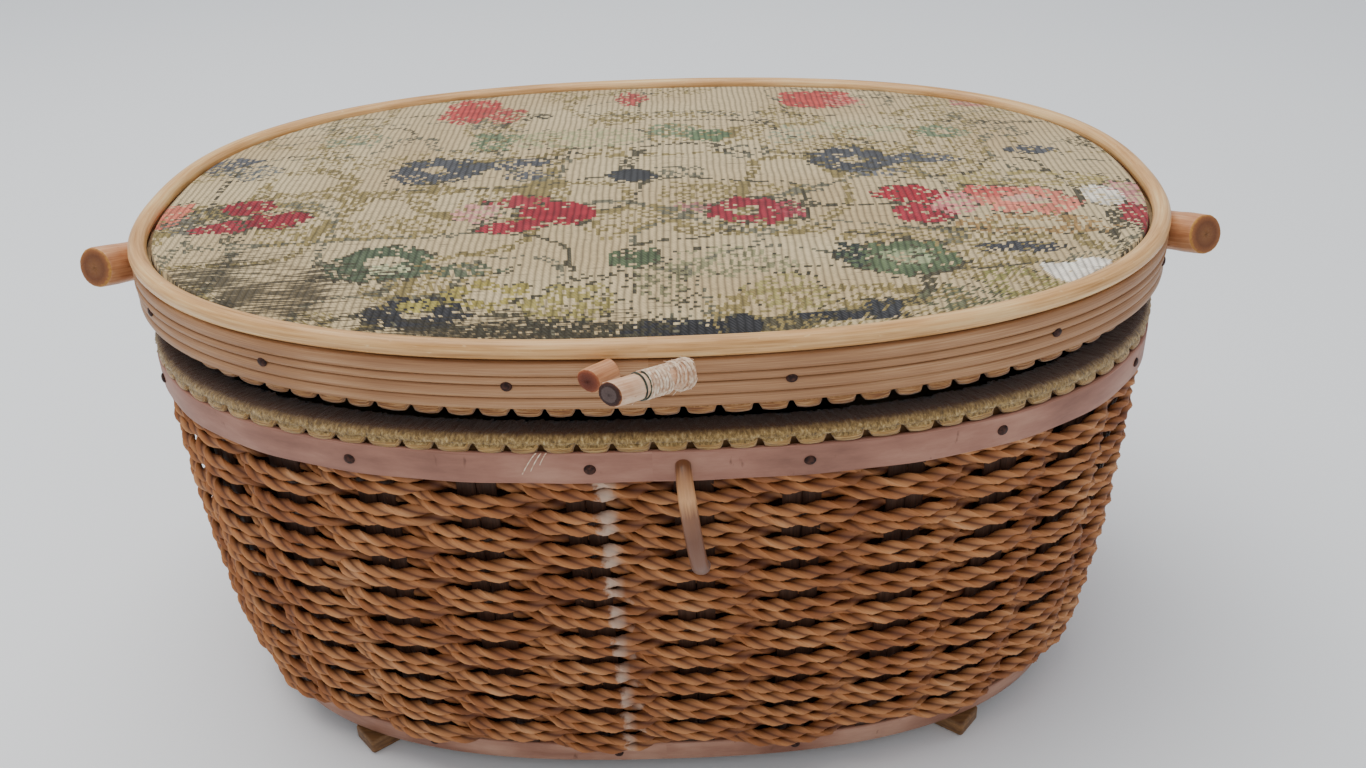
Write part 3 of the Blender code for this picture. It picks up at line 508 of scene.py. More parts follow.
def over_stakes(size):
    """A band's bulge over the stakes, with a slow wander of its own."""
    wander = drift(45, 0.25, BODY_ROUND)
    rise = drift(60, 0.3, BODY_ROUND)

    def shift(u, v, inset, z):
        bulge = size * (1 + np.cos(2 * math.pi * STAKES * (u - FIRST_STAKE))) / 2
        return -bulge - 0.25 + wander(u), rise(u)

    return shift


band = hoop(FINE, rounded(0.0, BAND_BOTTOM, BAND_TOP, 1.5, 0.5), on_wall, BODY_ROUND, over_stakes(0.25))
solid("nailed_top_band", band, band_look, "basket", "pink_reed", "top_band")
FLARE = 2.5


def flare(u, v, inset, z):
    return -FLARE * (z - BASE_BOTTOM) / (BASE_TOP - BASE_BOTTOM), 0 * z


base_band_look = reed_finish("scuffed_pink_reed", ("7c4f3b", "9d715c", "b58c75"), 0.9, 30, 0.55, 0.06, "734a35")
band = hoop(FINE, rounded(0.0, BASE_BOTTOM, BASE_TOP, 1.6, 0.5), on_base, BODY_ROUND, flare)
solid("nailed_base_band", band, base_band_look, "basket", "pink_reed", "base_band")

# %% Tack material
tack_look, tree, shader = blank("rusted_iron_tack", 0.55, Metallic=0.7)
coords = add_node(tree, "ShaderNodeTexCoord")
rust = add_node(tree, "ShaderNodeTexNoise", {"Vector": coords.outputs["Object"], "Scale": 1 / (0.9 * MM)})
ramp = paint_ramp(add_node(tree, "ShaderNodeValToRGB", {0: rust.outputs[0]}), [(0.4, "2a1a16"), (0.65, "4d2f26")])
tree.links.new(ramp.outputs[0], shader.inputs["Base Color"])
bump = add_node(tree, "ShaderNodeBump", {"Height": rust.outputs[0], "Strength": 0.6, "Distance": 0.1 * MM})
tree.links.new(bump.outputs[0], shader.inputs["Normal"])

# %% [markdown]
# The CAD holds the tacks that show from the front. The rest go on at the same spacing, all the way
# round. A tack is a low dome: a sphere squashed along its nail, and turned to face out of the wall.


# %% Tacks
def tacks(name, place, shares, inset, z, radius, body, *nodes):
    bm = bmesh.new()
    for share in shares:
        step = 1e-4
        here, ahead = place(np.array([share, share + step]), inset, z)
        along = Vector(ahead - here).normalized()
        outward = along.cross(Vector((0, 0, 1)))
        frame_of = Matrix((along, Vector((0, 0, 1)), outward)).transposed().to_4x4()
        squash = Matrix.Diagonal((1, chance.uniform(0.82, 1), 0.42, 1))
        matrix = Matrix.Translation(Vector(here)) @ frame_of @ squash
        bmesh.ops.create_uvsphere(bm, u_segments=14, v_segments=8, radius=radius * MM, matrix=matrix)
    bmesh.ops.recalc_face_normals(bm, faces=bm.faces)
    piece = solid(name, bm, tack_look, body, "nail", *nodes)
    print(name, len(shares))
    return piece


def share_at(units, half_x, x):
    """The share of the way round where an oval's front has a given x, in mm."""
    shares = np.linspace(-0.25, 0.25, 2001)
    return float(np.interp(x, units(shares)[0] * half_x, shares))


def seen_shares(units, half_x, group):
    """Shares for the CAD's own tacks, from their boxes."""
    found = []
    for node in group:
        low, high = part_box(node)
        found.append(share_at(units, half_x, (low.x + high.x) / 2 / MM))
    return found


def carried_round(shares, spacing):
    """The same shares, with more behind, evenly spaced."""
    first, last = max(shares) + spacing, min(shares) + 1 - spacing * 0.6
    return shares + list(np.arange(first, last, spacing))


def named(prefix):
    return sorted(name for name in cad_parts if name.startswith(prefix))


shares = carried_round(seen_shares(body_units, TOP_HALF.x, named("band_nail")), 0.085)
tacks("top_band_tacks", on_wall, shares, -0.5, (BAND_TOP + BAND_BOTTOM) / 2, 1.35, "basket", *named("band_nail"))
base_half = BOARD_HALF.x + BOARD_INSET
shares = carried_round(seen_shares(body_units, base_half, named("base_nail")), 0.09)
tacks("base_band_tacks", on_base, shares, -FLARE / 2 - 0.05, BASE_BOTTOM + 4.0, 1.25, "basket",
      *named("base_nail"))
shares = carried_round(seen_shares(lid_units, LID_HALF.x, named("lid_nail")), 0.09)
low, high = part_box("lid_nail_2")
tacks("lid_tacks", on_lid, shares, 0.35, (low.z + high.z) / 2 / MM, 1.25, "lid", *named("lid_nail"))

# %% [markdown]
# ## Lid reeds
# Four half-round reeds are glued one above another round the lid's hoop, and a round peeled reed hides
# the edge of the cloth. Half-round reed is a swept half circle, and the dark lines are the real grooves
# between neighbours.

# %% Lid reeds
for number in range(1, 5):
    low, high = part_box(f"lid_reed_{number}")
    bottom, top = low.z / MM - 0.12, high.z / MM + 0.12
    depth = 0.75
    bow = [(3.2, bottom)]
    for step in range(9):
        angle = math.radians(-90 + 180 * step / 8)
        bow.append((0.2 + depth - depth * math.cos(angle), (bottom + top) / 2 + (top - bottom) / 2 * math.sin(angle)))
    bow.append((3.2, top))
    wander = drift(70, 0.12, LID_ROUND)

    def sway(u, v, inset, z, wander=wander):
        return wander(u), 0.7 * wander(u + 0.4)

    solid(f"half_round_reed_{number}", hoop(FINE, bow, on_lid, LID_ROUND, sway), pale_look, "lid", "pale_reed",
          f"lid_reed_{number}", smooth=70)
low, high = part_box("lid_top_reed")
radius = (high.z - low.z) / 2 / MM + 0.1
ring = []
for step in range(16):
    angle = 2 * math.pi * step / 16
    ring.append((radius - radius * math.cos(angle), (low.z + high.z) / 2 / MM + radius * math.sin(angle)))
wander = drift(50, 0.2, LID_ROUND)
swell = drift(38, 0.1, LID_ROUND)


def hand_bent(u, v, inset, z):
    return wander(u) + swell(u) * (inset / radius - 1), swell(u + 0.3) * (z - z.mean()) / radius


solid("round_edge_reed", hoop(FINE, ring, on_lid, LID_ROUND, hand_bent), golden_look, "lid", "golden_reed",
      "lid_top_reed", smooth=80)
print("lid reeds done")

# %% [markdown]
# ## Braid
# A gold gimp is glued over the rim and a tan one under the lid. Gimp is a row of bundled threads sewn to
# a tape, so its lower edge is a run of little tongues with dark notches between, and its upper edge is a
# fuzzy roll. One hoop makes each, and the tongues come from sliding its lower points up at each notch.


# %% Braid finish
def braid_finish(name, codes, tongue_codes, roll_from):
    """Rayon gimp. Its roll is upright tufts and its tongues are smooth threads along it. roll_from is how
    far across the section, in mm, the roll starts. Past 9 mm the colour darkens to brown: painted shadow of the lid."""
    made, tree, shader = blank(name, 0.5, Specular_IOR_Level=0.4, Sheen_Weight=0.25, Sheen_Roughness=0.4)
    uv = add_node(tree, "ShaderNodeTexCoord").outputs["UV"]
    across = add_node(tree, "ShaderNodeSeparateXYZ", {0: uv}).outputs["Y"]
    upright = add_node(tree, "ShaderNodeMapping", {"Vector": uv, "Scale": (1 / 0.75, 1 / 2.4, 1),
                                                   "Rotation": (0, 0, 0.3)})
    tufts = add_node(tree, "ShaderNodeTexNoise", {"Vector": upright.outputs[0], "Scale": 1.0, "Detail": 6.0,
                                                  "Roughness": 0.75})
    along = add_node(tree, "ShaderNodeMapping", {"Vector": uv, "Scale": (1 / 6.0, 1 / 0.4, 1)})
    threads = add_node(tree, "ShaderNodeTexNoise", {"Vector": along.outputs[0], "Scale": 1.0, "Detail": 3.0})
    fuzzy = paint_ramp(add_node(tree, "ShaderNodeValToRGB", {0: tufts.outputs[0]}),
                       list(zip((0.34, 0.46, 0.56, 0.68), codes)))
    smooth_part = paint_ramp(add_node(tree, "ShaderNodeValToRGB", {0: threads.outputs[0]}),
                             list(zip((0.35, 0.52, 0.66), tongue_codes)))
    part = add_node(tree, "ShaderNodeMapRange", {0: across, 1: roll_from - 0.25, 2: roll_from + 0.25})
    base = add_node(tree, "ShaderNodeMix", {0: part.outputs[0], 6: smooth_part.outputs[0], 7: fuzzy.outputs[0]},
                    data_type="RGBA")
    # Painted shade: from 8.7 mm across, the braid darkens to dark brown for the lid's shadow on the rim's top.
    inner = add_node(tree, "ShaderNodeMapRange", {0: across, 1: 8.7, 2: 11.8})
    lid_shadowed = add_node(tree, "ShaderNodeMix", {0: inner.outputs[0], 6: base.outputs[2], 7: colour("4d3019")},
                      data_type="RGBA")
    tree.links.new(lid_shadowed.outputs[2], shader.inputs["Base Color"])
    height = add_node(tree, "ShaderNodeMix", {0: part.outputs[0], 2: threads.outputs[0], 3: tufts.outputs[0]})
    bump = add_node(tree, "ShaderNodeBump", {"Height": height.outputs[0], "Strength": 1.0, "Distance": 0.6 * MM})
    tree.links.new(bump.outputs[0], shader.inputs["Normal"])
    return made


gold_look = braid_finish("gold_rayon_gimp", ("4f3a1c", "8a6c36", "b5945a", "dcc592"), ("7a5628", "b08649", "cfa868"),
                         4.4)
tan_look = braid_finish("tan_rayon_gimp", ("7a4a24", "a8733f", "c08f58", "d5ac7c"), ("84502a", "b07c48", "d0a272"), 3.4)

# %% Braid round the rim and under the lid
SCALLOP = 7.7


def scalloped(length, edge_z, depth, roll):
    """Tongues and notches along a hoop's lower edge, and a rough roll above."""
    count = round(length / SCALLOP)
    uneven = drift(9, 1.0, length)
    rough = chance.normal(0, 1, (count * 16, 40))

    def shift(u, v, inset, z):
        tongue = np.abs(np.sin(math.pi * (u * count + 0.09 * uneven(u) + 0.05 * (z - edge_z))))
        low = np.clip((edge_z + 1.9 - z) / 1.6, 0, 1)
        notch = np.clip((0.46 - tongue) / 0.3, 0, 1)
        notch = notch * notch * (3 - 2 * notch)
        rise = low * (depth * notch - 0.4 * tongue)
        row = np.clip((v * 40).astype(int), 0, 39)
        fuzz = rough[(u * count * 16).astype(int) % (count * 16), row] * np.clip((z - edge_z) / 2.5, 0.1, 1)
        return -0.35 * tongue * (0.2 + low) + 0.5 * low * notch + roll * fuzz, rise + roll * 0.7 * fuzz

    return shift, count * 16


edge = BAND_TOP + 0.35
over = [(1.7, edge + 0.1), (0.7, edge - 0.1), (0.3, edge + 0.1), (0.1, edge + 0.6), (0.1, edge + 1.2),
        (0.3, edge + 1.6), (0.0, edge + 1.9), (-0.15, edge + 2.5), (0.0, edge + 3.1), (0.4, edge + 3.7),
        (1.0, edge + 4.0), (1.8, edge + 4.1),
        (3.2, RIM_TOP), (5.0, RIM_TOP - 0.1), (6.8, RIM_TOP - 0.2), (6.8, RIM_TOP - 0.75), (3.2, RIM_TOP - 0.75),
        (1.7, RIM_TOP - 1.1)]
shift, steps = scalloped(BODY_ROUND, edge, 1.7, 0.13)
solid("rim_gold_gimp", hoop(steps, over, on_wall, BODY_ROUND, shift), gold_look, "basket", "gold_braid",
      "rim_gimp", smooth=75)
low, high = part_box("lid_gimp")
edge = low.z / MM
inner = (LID_HALF.x - high.x / MM) + 0.15
over = [(inner + 1.0, edge), (inner + 0.3, edge + 0.1), (inner, edge + 0.6), (inner, edge + 1.4),
        (inner + 0.1, edge + 2.2), (inner + 0.6, edge + 2.7), (inner + 2.8, edge + 2.7), (inner + 2.8, edge + 1.4),
        (inner + 1.4, edge + 1.0)]
shift, steps = scalloped(LID_ROUND, edge, 1.5, 0.04)
solid("lid_tan_gimp", hoop(steps, over, on_lid, LID_ROUND, shift), tan_look, "lid", "tan_braid",
      "lid_gimp", smooth=75)
print("scallops round the rim:", round(BODY_ROUND / SCALLOP))

# %% [markdown]
# ## An oval sheet
# Cloth cut to an oval wants an even grid, not one that crowds at a middle point. A square grid is pressed
# into a circle, and the circle is stretched to the oval, which keeps every face about the same size.


# %% Oval grids
def oval_grid(columns, rows, half_x, half_y, power, height):
    """A bmesh grid pressed into an oval. height(edge, x, y) gives z in mm, with edge 0 at the rim."""
    bm = bmesh.new()
    layer = bm.loops.layers.uv.new("UVMap")
    bmesh.ops.create_grid(bm, x_segments=columns, y_segments=rows, size=1.0)
    flat = np.array([vert.co for vert in bm.verts])
    u = flat[:, 0]
    v = flat[:, 1]
    across = u * np.sqrt(1 - v * v / 2)
    back = v * np.sqrt(1 - u * u / 2)
    radius = np.hypot(across, back)
    angle = np.arctan2(back, across)
    reach = (np.abs(np.cos(angle)) ** power + np.abs(np.sin(angle)) ** power) ** (-1 / power)
    x = across * reach * half_x
    y = back * reach * half_y
    z = height(1 - radius, x, y)
    for vert, place in zip(bm.verts, np.stack([x, y + LID_MIDDLE.y, z], axis=-1) * MM):
        vert.co = place
    for face in bm.faces:
        for loop in face.loops:
            loop[layer].uv = (loop.vert.co.x / MM, loop.vert.co.y / MM)
    return bm


def grain(x, y, size, seed):
    """Smooth value noise from 0 to 1 at any point, with lumps of a given size in mm."""
    table = np.random.default_rng(seed).random((64, 64))
    px = x / size + 1000.5
    py = y / size + 1000.5
    ix = np.floor(px).astype(int)
    iy = np.floor(py).astype(int)
    fx = px - ix
    fy = py - iy
    fx = fx * fx * (3 - 2 * fx)
    fy = fy * fy * (3 - 2 * fy)
    low = table[ix % 64, iy % 64] * (1 - fx) + table[(ix + 1) % 64, iy % 64] * fx
    high = table[ix % 64, (iy + 1) % 64] * (1 - fx) + table[(ix + 1) % 64, (iy + 1) % 64] * fx
    return low * (1 - fy) + high * fy


# %% [markdown]
# ## The tapestry
# The lid's cover is machine tapestry: a cream ribbed cotton with faded roses, blue and green flowers and
# olive scrolls, each shape a scatter of single stitches. The pattern is written as a list of blooms and
# sprays in millimetres, then every face of the sheet, one stitch wide, takes the thread that falls there.
# The scrolls come from the contour lines of a smooth noise, which wander and close as scrollwork does.

# %% Pattern
# x, y, half width, half depth, thread, how thickly stitched, how much of the middle is open
BLOOMS = (
    (-53, 71, 9, 14, "b2443f", 0.92, 0), (-43, 65, 7, 9, "a94c43", 0.75, 0), (-4, 79, 5, 8, "a94c43", 0.8, 0),
    (53, 73, 12, 12, "b54a42", 0.95, 0), (98, 68, 6, 6, "b5726a", 0.5, 0), (62, 70, 6, 8, "cf7f70", 0.5, 0),
    (-84, 45, 10, 8, "7c8569", 0.35, 0), (-42, 38, 8, 8, "6d7b5b", 0.7, 0.2), (-18, 38, 20, 9, "aba77a", 0.55, 0),
    (8, 42, 8, 7, "798665", 0.55, 0), (19, 37, 5, 6, "607251", 0.85, 0), (43, 37, 7, 8, "9fa080", 0.35, 0),
    (84, 38, 8, 6, "758363", 0.7, 0.2), (62, 40, 12, 8, "b0ab82", 0.3, 0), (-118, 31, 10, 5, "58595c", 0.7, 0),
    (-108, 22, 9, 6, "6a6c68", 0.4, 0), (-56, 15, 13, 10, "4c4d50", 0.95, 0.35), (-35, 17, 11, 4, "4f5053", 0.7, 0),
    (-30, 8, 6, 4, "5a5b5e", 0.5, 0), (-2, 5, 7, 5, "3c3d3f", 0.97, 0), (57, 14, 12, 9, "4c4d50", 0.95, 0.4),
    (75, 15, 9, 4, "56575a", 0.65, 0), (107, 22, 7, 3, "525356", 0.85, 0), (62, 4, 8, 3, "68696c", 0.4, 0),
    (-124, -7, 9, 9, "d0745c", 0.9, 0), (-101, -5, 7, 5, "8f2932", 0.92, 0), (-104, -18, 8, 4, "98323a", 0.85, 0),
    (-90, -15, 8, 7, "8a2530", 0.95, 0), (-116, -14, 5, 7, "6b6658", 0.5, 0), (-31, -11, 8, 4, "a0383f", 0.85, 0),
    (-20, -20, 10, 7, "952732", 0.97, 0), (-31, -27, 8, 4, "982e38", 0.9, 0), (-40, -18, 6, 6, "cf9488", 0.55, 0),
    (27, -22, 11, 9, "922d38", 0.92, 0.45), (37, -21, 4, 6, "994048", 0.6, 0), (14, -18, 5, 4, "b67d74", 0.4, 0),
    (70, -12, 9, 6, "a32934", 0.95, 0), (70, -25, 7, 6, "992d38", 0.92, 0), (78, -18, 6, 8, "d2807c", 0.6, 0),
    (97, -16, 13, 9, "d97f68", 0.88, 0.3), (97, -15, 5, 3, "e6b39c", 0.7, 0), (88, -9, 6, 4, "c8584f", 0.7, 0),
    (121, -25, 4, 9, "99343c", 0.85, 0), (123, -9, 5, 8, "c98a84", 0.6, 0), (101, -1, 24, 6, "a3925a", 0.6, 0.5),
    (95, -31, 22, 6, "a07f4e", 0.55, 0.4), (-60, -45, 14, 9, "515c45", 0.92, 0.32), (-57, -48, 5, 3, "b9b98f", 0.7, 0),
    (-40, -50, 11, 4, "5a604a", 0.6, 0), (-2, -47, 7, 5, "546044", 0.92, 0), (60, -50, 14, 9, "5c6a4b", 0.95, 0.3),
    (62, -49, 7, 4, "959d76", 0.75, 0), (88, -44, 11, 3, "424245", 0.75, 0), (49, -47, 4, 8, "383d37", 0.7, 0),
    (20, -50, 15, 8, "918c66", 0.4, 0), (-48, -70, 12, 8, "303032", 0.95, 0.25), (-48, -66, 5, 3, "a3954c", 0.8, 0),
    (-33, -63, 10, 7, "9b8c48", 0.65, 0.3), (-15, -67, 10, 8, "9b8d50", 0.62, 0.35), (10, -81, 15, 5, "2f2f31", 0.93, 0),
    (22, -79, 4, 6, "2f2f31", 0.95, 0), (33, -66, 10, 8, "a0935a", 0.5, 0.2), (46, -76, 13, 2, "333335", 0.85, 0),
    (53, -73, 5, 5, "393a3c", 0.8, 0), (5, -60, 8, 10, "837d5a", 0.35, 0), (85, -63, 10, 8, "868049", 0.5, 0.4),
    (70, -70, 10, 7, "63644a", 0.4, 0), (-20, -80, 26, 5, "403d30", 0.6, 0), (97, -57, 7, 5, "efe7d8", 1.3, 0),
    (103, -53, 5, 3, "efe7d8", 1.0, 0), (117, -13, 5, 7, "e3dccb", 0.8, 0),
)
GROUND = np.array(colour("bfa77c")[:3])
PALE = np.array(colour("cfbc92")[:3])
OLIVE = np.array(colour("857548")[:3])
UMBER = np.array(colour("514b38")[:3])
SLATE = np.array(colour("6a6652")[:3])


def stitches(x, y):
    """The thread colour at each stitch, from its place in mm off the pattern's middle."""
    x = x + 2.3
    y = y + 4.8 - LID_MIDDLE.y
    dice = np.random.default_rng(7).random(len(x))
    tone = grain(x, y, 18, 1)[:, None]
    thread = GROUND * (1 - tone) + PALE * tone
    back_fade = np.clip((90 - y) / 90, 0.7, 1)
    plain = np.clip(np.hypot((x + 2) / 24, (y + 66) / 15) - 0.35, 0.12, 1)  # the front middle has few scrolls
    for size, seed, width, density, code in ((26, 2, 0.035, 0.6, OLIVE), (19, 3, 0.03, 0.5, SLATE),
                                             (22, 4, 0.018, 0.65, UMBER)):
        line = np.abs(grain(x, y * 1.25, size, seed) - 0.5) < width * (1 + grain(x, y, 9, 5))
        lit = line & (dice < density * back_fade * plain)
        thread = np.where(lit[:, None], code * (0.8 + 0.5 * grain(x, y, 3, 6)[:, None]), thread)
    shade = (grain(x, y, 16, 8) > 0.62) & (dice > 1 - 0.38 * back_fade)
    thread = np.where(shade[:, None], OLIVE * 1.15, thread)
    ragged = 0.55 * (grain(x, y, 5.5, 9) - 0.5) + 0.35 * (grain(x, y, 2.2, 10) - 0.5)
    for number, (cx, cy, rx, ry, code, density, hollow) in enumerate(BLOOMS):
        reach = np.hypot((x - cx) / rx, (y - cy) / ry) + ragged * min(1, 9 / max(rx, ry))
        luck = np.random.default_rng(100 + number).random(len(x))
        filled = (reach < 1) & (reach > hollow) & (luck < density * (1.15 - 0.35 * reach))
        varied = np.array(colour(code)[:3]) * (0.78 + 0.5 * grain(x, y, 2.6, 11 + number)[:, None])
        thread = np.where(filled[:, None], varied, thread)
        outline = (np.abs(reach - 1.03) < 0.07) & (luck < 0.5 * density) & (density < 1) & (y < 30)
        thread = np.where(outline[:, None], UMBER * 0.9, thread)
    thread = thread * (0.92 + 0.16 * np.random.default_rng(8).random(len(x)))[:, None]
    return np.clip(thread, 0, 1)


def frayed_at(x, y):
    """How far the face has worn off, from 0 to 1: most near the front and left, where hands rubbed it."""
    left = np.clip(1.3 - np.hypot((x + 92) / 36, (y + 53) / 23), 0, 1)
    front = 0.9 * np.clip(1.25 - np.hypot((x + 34) / 40, (y + 78) / 13), 0, 1)
    return np.maximum(left, front) * (0.45 + 0.75 * grain(x, y, 8, 13))


# %% [markdown]
# ### Cloth of the tapestry
# Ribbed cotton: cords 1.7 mm apart run from back to front, each crossed by floats about 1.3 mm long. The
# stitch colours come as an attribute, and the ribs darken the valleys between them and raise a bump. Where
# the face has worn off, a second attribute lets fine dark wefts show, as long streaks of noise.

# %% Tapestry material
RIB = 1.7
FLOAT = 1.3
tapestry_look, tree, shader = blank("ribbed_cotton_tapestry", 0.9, Specular_IOR_Level=0.15, Sheen_Weight=0.12,
                                    Sheen_Roughness=0.5)
coords = add_node(tree, "ShaderNodeTexCoord")
threads = add_node(tree, "ShaderNodeAttribute", attribute_name="stitches")
waver = add_node(tree, "ShaderNodeTexNoise", {"Vector": coords.outputs["Object"], "Scale": 1 / (9 * MM)})
nudge = add_node(tree, "ShaderNodeMapRange", {0: waver.outputs[0], 3: -0.5 * MM, 4: 0.5 * MM})
axes = add_node(tree, "ShaderNodeSeparateXYZ", {0: coords.outputs["Object"]})
swayed = add_node(tree, "ShaderNodeMath", {0: axes.outputs["X"], 1: nudge.outputs[0]})
rib_phase = add_node(tree, "ShaderNodeMath", {0: swayed.outputs[0], 1: math.pi / (RIB * MM)}, operation="MULTIPLY")
rib = add_node(tree, "ShaderNodeMath", {0: rib_phase.outputs[0]}, operation="SINE")
rib = add_node(tree, "ShaderNodeMath", {0: rib.outputs[0]}, operation="ABSOLUTE")
column = add_node(tree, "ShaderNodeMath", {0: rib_phase.outputs[0], 1: 1.9}, operation="MULTIPLY")
float_phase = add_node(tree, "ShaderNodeMath", {0: axes.outputs["Y"], 1: math.pi / (FLOAT * MM)}, operation="MULTIPLY")
float_phase = add_node(tree, "ShaderNodeMath", {0: float_phase.outputs[0], 1: column.outputs[0]})
bead = add_node(tree, "ShaderNodeMath", {0: float_phase.outputs[0]}, operation="SINE")
bead = add_node(tree, "ShaderNodeMath", {0: bead.outputs[0]}, operation="ABSOLUTE")
bead = add_node(tree, "ShaderNodeMapRange", {0: bead.outputs[0], 3: 0.62, 4: 1.0})
weave = add_node(tree, "ShaderNodeMath", {0: rib.outputs[0], 1: bead.outputs[0]}, operation="MULTIPLY")
fibre = add_node(tree, "ShaderNodeTexNoise", {"Vector": coords.outputs["Object"], "Scale": 1 / (0.8 * MM),
                                              "Detail": 2.0})
weave = add_node(tree, "ShaderNodeMix", {0: 0.2, 2: weave.outputs[0], 3: fibre.outputs[0]})
shade = add_node(tree, "ShaderNodeMapRange", {0: weave.outputs[0], 1: 0.1, 2: 0.75, 3: 0.5, 4: 1.08})
deep = add_node(tree, "ShaderNodeVectorMath", {0: threads.outputs["Color"], 1: shade.outputs[0]},
                operation="MULTIPLY")
worn = add_node(tree, "ShaderNodeAttribute", attribute_name="frayed")
weft_way = add_node(tree, "ShaderNodeMapping", {"Vector": coords.outputs["Object"], "Rotation": (0, 0, 0.12),
                                                "Scale": (1 / (7 * MM), 1 / (0.5 * MM), 1)})
wefts = add_node(tree, "ShaderNodeTexNoise", {"Vector": weft_way.outputs[0], "Scale": 1.0, "Detail": 2.0})
raised = add_node(tree, "ShaderNodeMath", {0: worn.outputs["Fac"], 1: 0.36}, operation="MULTIPLY")
raised = add_node(tree, "ShaderNodeMath", {0: raised.outputs[0], 1: wefts.outputs[0]})
showing = add_node(tree, "ShaderNodeMapRange", {0: raised.outputs[0], 1: 0.66, 2: 0.72, 4: 0.9})
bare = add_node(tree, "ShaderNodeMix", {0: showing.outputs[0], 6: deep.outputs[0], 7: colour("3a3426")},
                data_type="RGBA")
tree.links.new(bare.outputs[2], shader.inputs["Base Color"])
bump = add_node(tree, "ShaderNodeBump", {"Height": weave.outputs[0], "Strength": 0.9, "Distance": 0.5 * MM})
tree.links.new(bump.outputs[0], shader.inputs["Normal"])

# %% Stretch the tapestry
COVER_INSET = 4.85
COVER_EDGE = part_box("tapestry")[0].z / MM + 2.4
CROWN = 3.2
COVER_HALF_X = LID_HALF.x - COVER_INSET
COVER_HALF_Y = LID_HALF.y - COVER_INSET


def cover_height(edge, x, y):
    tucked = np.where(edge < 0.004, -2.3, 0.0)
    pull = 0.16 * (grain(x, y, 21, 40) - 0.5) + 0.1 * (grain(x, y, 8, 41) - 0.5)
    return COVER_EDGE + CROWN * np.sin(np.clip(edge, 0, 1) * math.pi / 2) ** 0.8 + pull + tucked


cover = oval_grid(252, 178, COVER_HALF_X, COVER_HALF_Y, 2.36, cover_height)
cover = solid("tapestry_cover", cover, tapestry_look, "lid", "tapestry", "tapestry", smooth=180)
centres = np.empty(len(cover.data.polygons) * 3)
cover.data.polygons.foreach_get("center", centres)
centres = centres.reshape(-1, 3) / MM
threads = stitches(centres[:, 0], centres[:, 1])
layer = cover.data.color_attributes.new("stitches", "FLOAT_COLOR", "CORNER")
colours = np.repeat(np.column_stack([threads, np.ones(len(threads))]), 4, axis=0)
layer.data.foreach_set("color", colours.ravel())
places = np.empty(len(cover.data.vertices) * 3)
cover.data.vertices.foreach_get("co", places)
places = places.reshape(-1, 3) / MM
layer = cover.data.attributes.new("frayed", "FLOAT", "POINT")
layer.data.foreach_set("value", frayed_at(places[:, 0], places[:, 1]))
cloth = cover.modifiers.new("cloth thickness", "SOLIDIFY")
cloth.thickness = 0.7 * MM
cloth.offset = -1.0
print("stitches:", len(threads))

# %% [markdown]
# ## Wadding under the tapestry
# A thin pad of cotton wadding gives the cover its crown. It is the same oval grid, made into a closed
# form by pulling its flat underside down.

# %% Wadding
wadding_look, tree, shader = blank("cotton_wadding", 0.95, Specular_IOR_Level=0.1)
coords = add_node(tree, "ShaderNodeTexCoord")
fluff = add_node(tree, "ShaderNodeTexNoise", {"Vector": coords.outputs["Object"], "Scale": 1 / (4 * MM),
                                              "Detail": 6.0})
ramp = paint_ramp(add_node(tree, "ShaderNodeValToRGB", {0: fluff.outputs[0]}), [(0.3, "d5cdbb"), (0.7, "f3eee2")])
tree.links.new(ramp.outputs[0], shader.inputs["Base Color"])
WADDING_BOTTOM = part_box("lid_wadding")[0].z / MM


def closed_pad(columns, rows, half_x, half_y, power, top, bottom):
    """Two oval grids back to back, joined round the rim."""
    upper = oval_grid(columns, rows, half_x, half_y, power, top)
    lower = oval_grid(columns, rows, half_x, half_y, power, bottom)
    held = bpy.data.meshes.new("half")
    lower.to_mesh(held)
    lower.free()
    upper.from_mesh(held)
    bpy.data.meshes.remove(held)
    rims = [item for item in upper.edges if item.is_boundary]
    bmesh.ops.bridge_loops(upper, edges=rims)
    bmesh.ops.recalc_face_normals(upper, faces=upper.faces)
    return upper


def wadding_top(edge, x, y):
    return COVER_EDGE - 1.4 + CROWN * np.sin(np.clip(edge, 0, 1) * math.pi / 2) ** 0.8 - 1.2 * (edge < 0.01)


pad = closed_pad(48, 34, COVER_HALF_X - 1.6, COVER_HALF_Y - 1.6, 2.36, wadding_top,
                 lambda edge, x, y: WADDING_BOTTOM + 0 * x)
wadding = solid("lid_wadding_pad", pad, wadding_look, "lid", "wadding", "lid_wadding", smooth=70)
print("wadding faces:", len(wadding.data.polygons))

# %% [markdown]
# ## Satin
# The inside is lined with a teal-black satin: long floats of filament on the face, so it shines in soft
# streaks across its folds. Its back face, behind the weave, is a near-black brown, painted shade for the
# slits. The lining is gathered at the rim, which leaves shallow pleats down the wall.

# %% Satin material
satin_look, tree, shader = blank("teal_black_satin", 0.34, Specular_IOR_Level=0.55, Sheen_Weight=0.2,
                                 Anisotropic=0.4)
coords = add_node(tree, "ShaderNodeTexCoord")
floats = add_node(tree, "ShaderNodeMapping", {"Vector": coords.outputs["Object"],
                                              "Scale": (1 / (0.5 * MM), 1 / (0.5 * MM), 1 / (9 * MM))})
filament = add_node(tree, "ShaderNodeTexNoise", {"Vector": floats.outputs[0], "Scale": 1.0, "Detail": 3.0})
shadow = add_node(tree, "ShaderNodeTexNoise", {"Vector": coords.outputs["Object"], "Scale": 1 / (24 * MM)})
mixed = add_node(tree, "ShaderNodeMix", {0: 0.5, 2: filament.outputs[0], 3: shadow.outputs[0]})
ramp = paint_ramp(add_node(tree, "ShaderNodeValToRGB", {0: mixed.outputs[0]}),
                  [(0.35, "10202b"), (0.5, "1b3040"), (0.66, "2c4556")])
tree.links.new(ramp.outputs[0], shader.inputs["Base Color"])
bump = add_node(tree, "ShaderNodeBump", {"Height": filament.outputs[0], "Strength": 0.25, "Distance": 0.1 * MM})
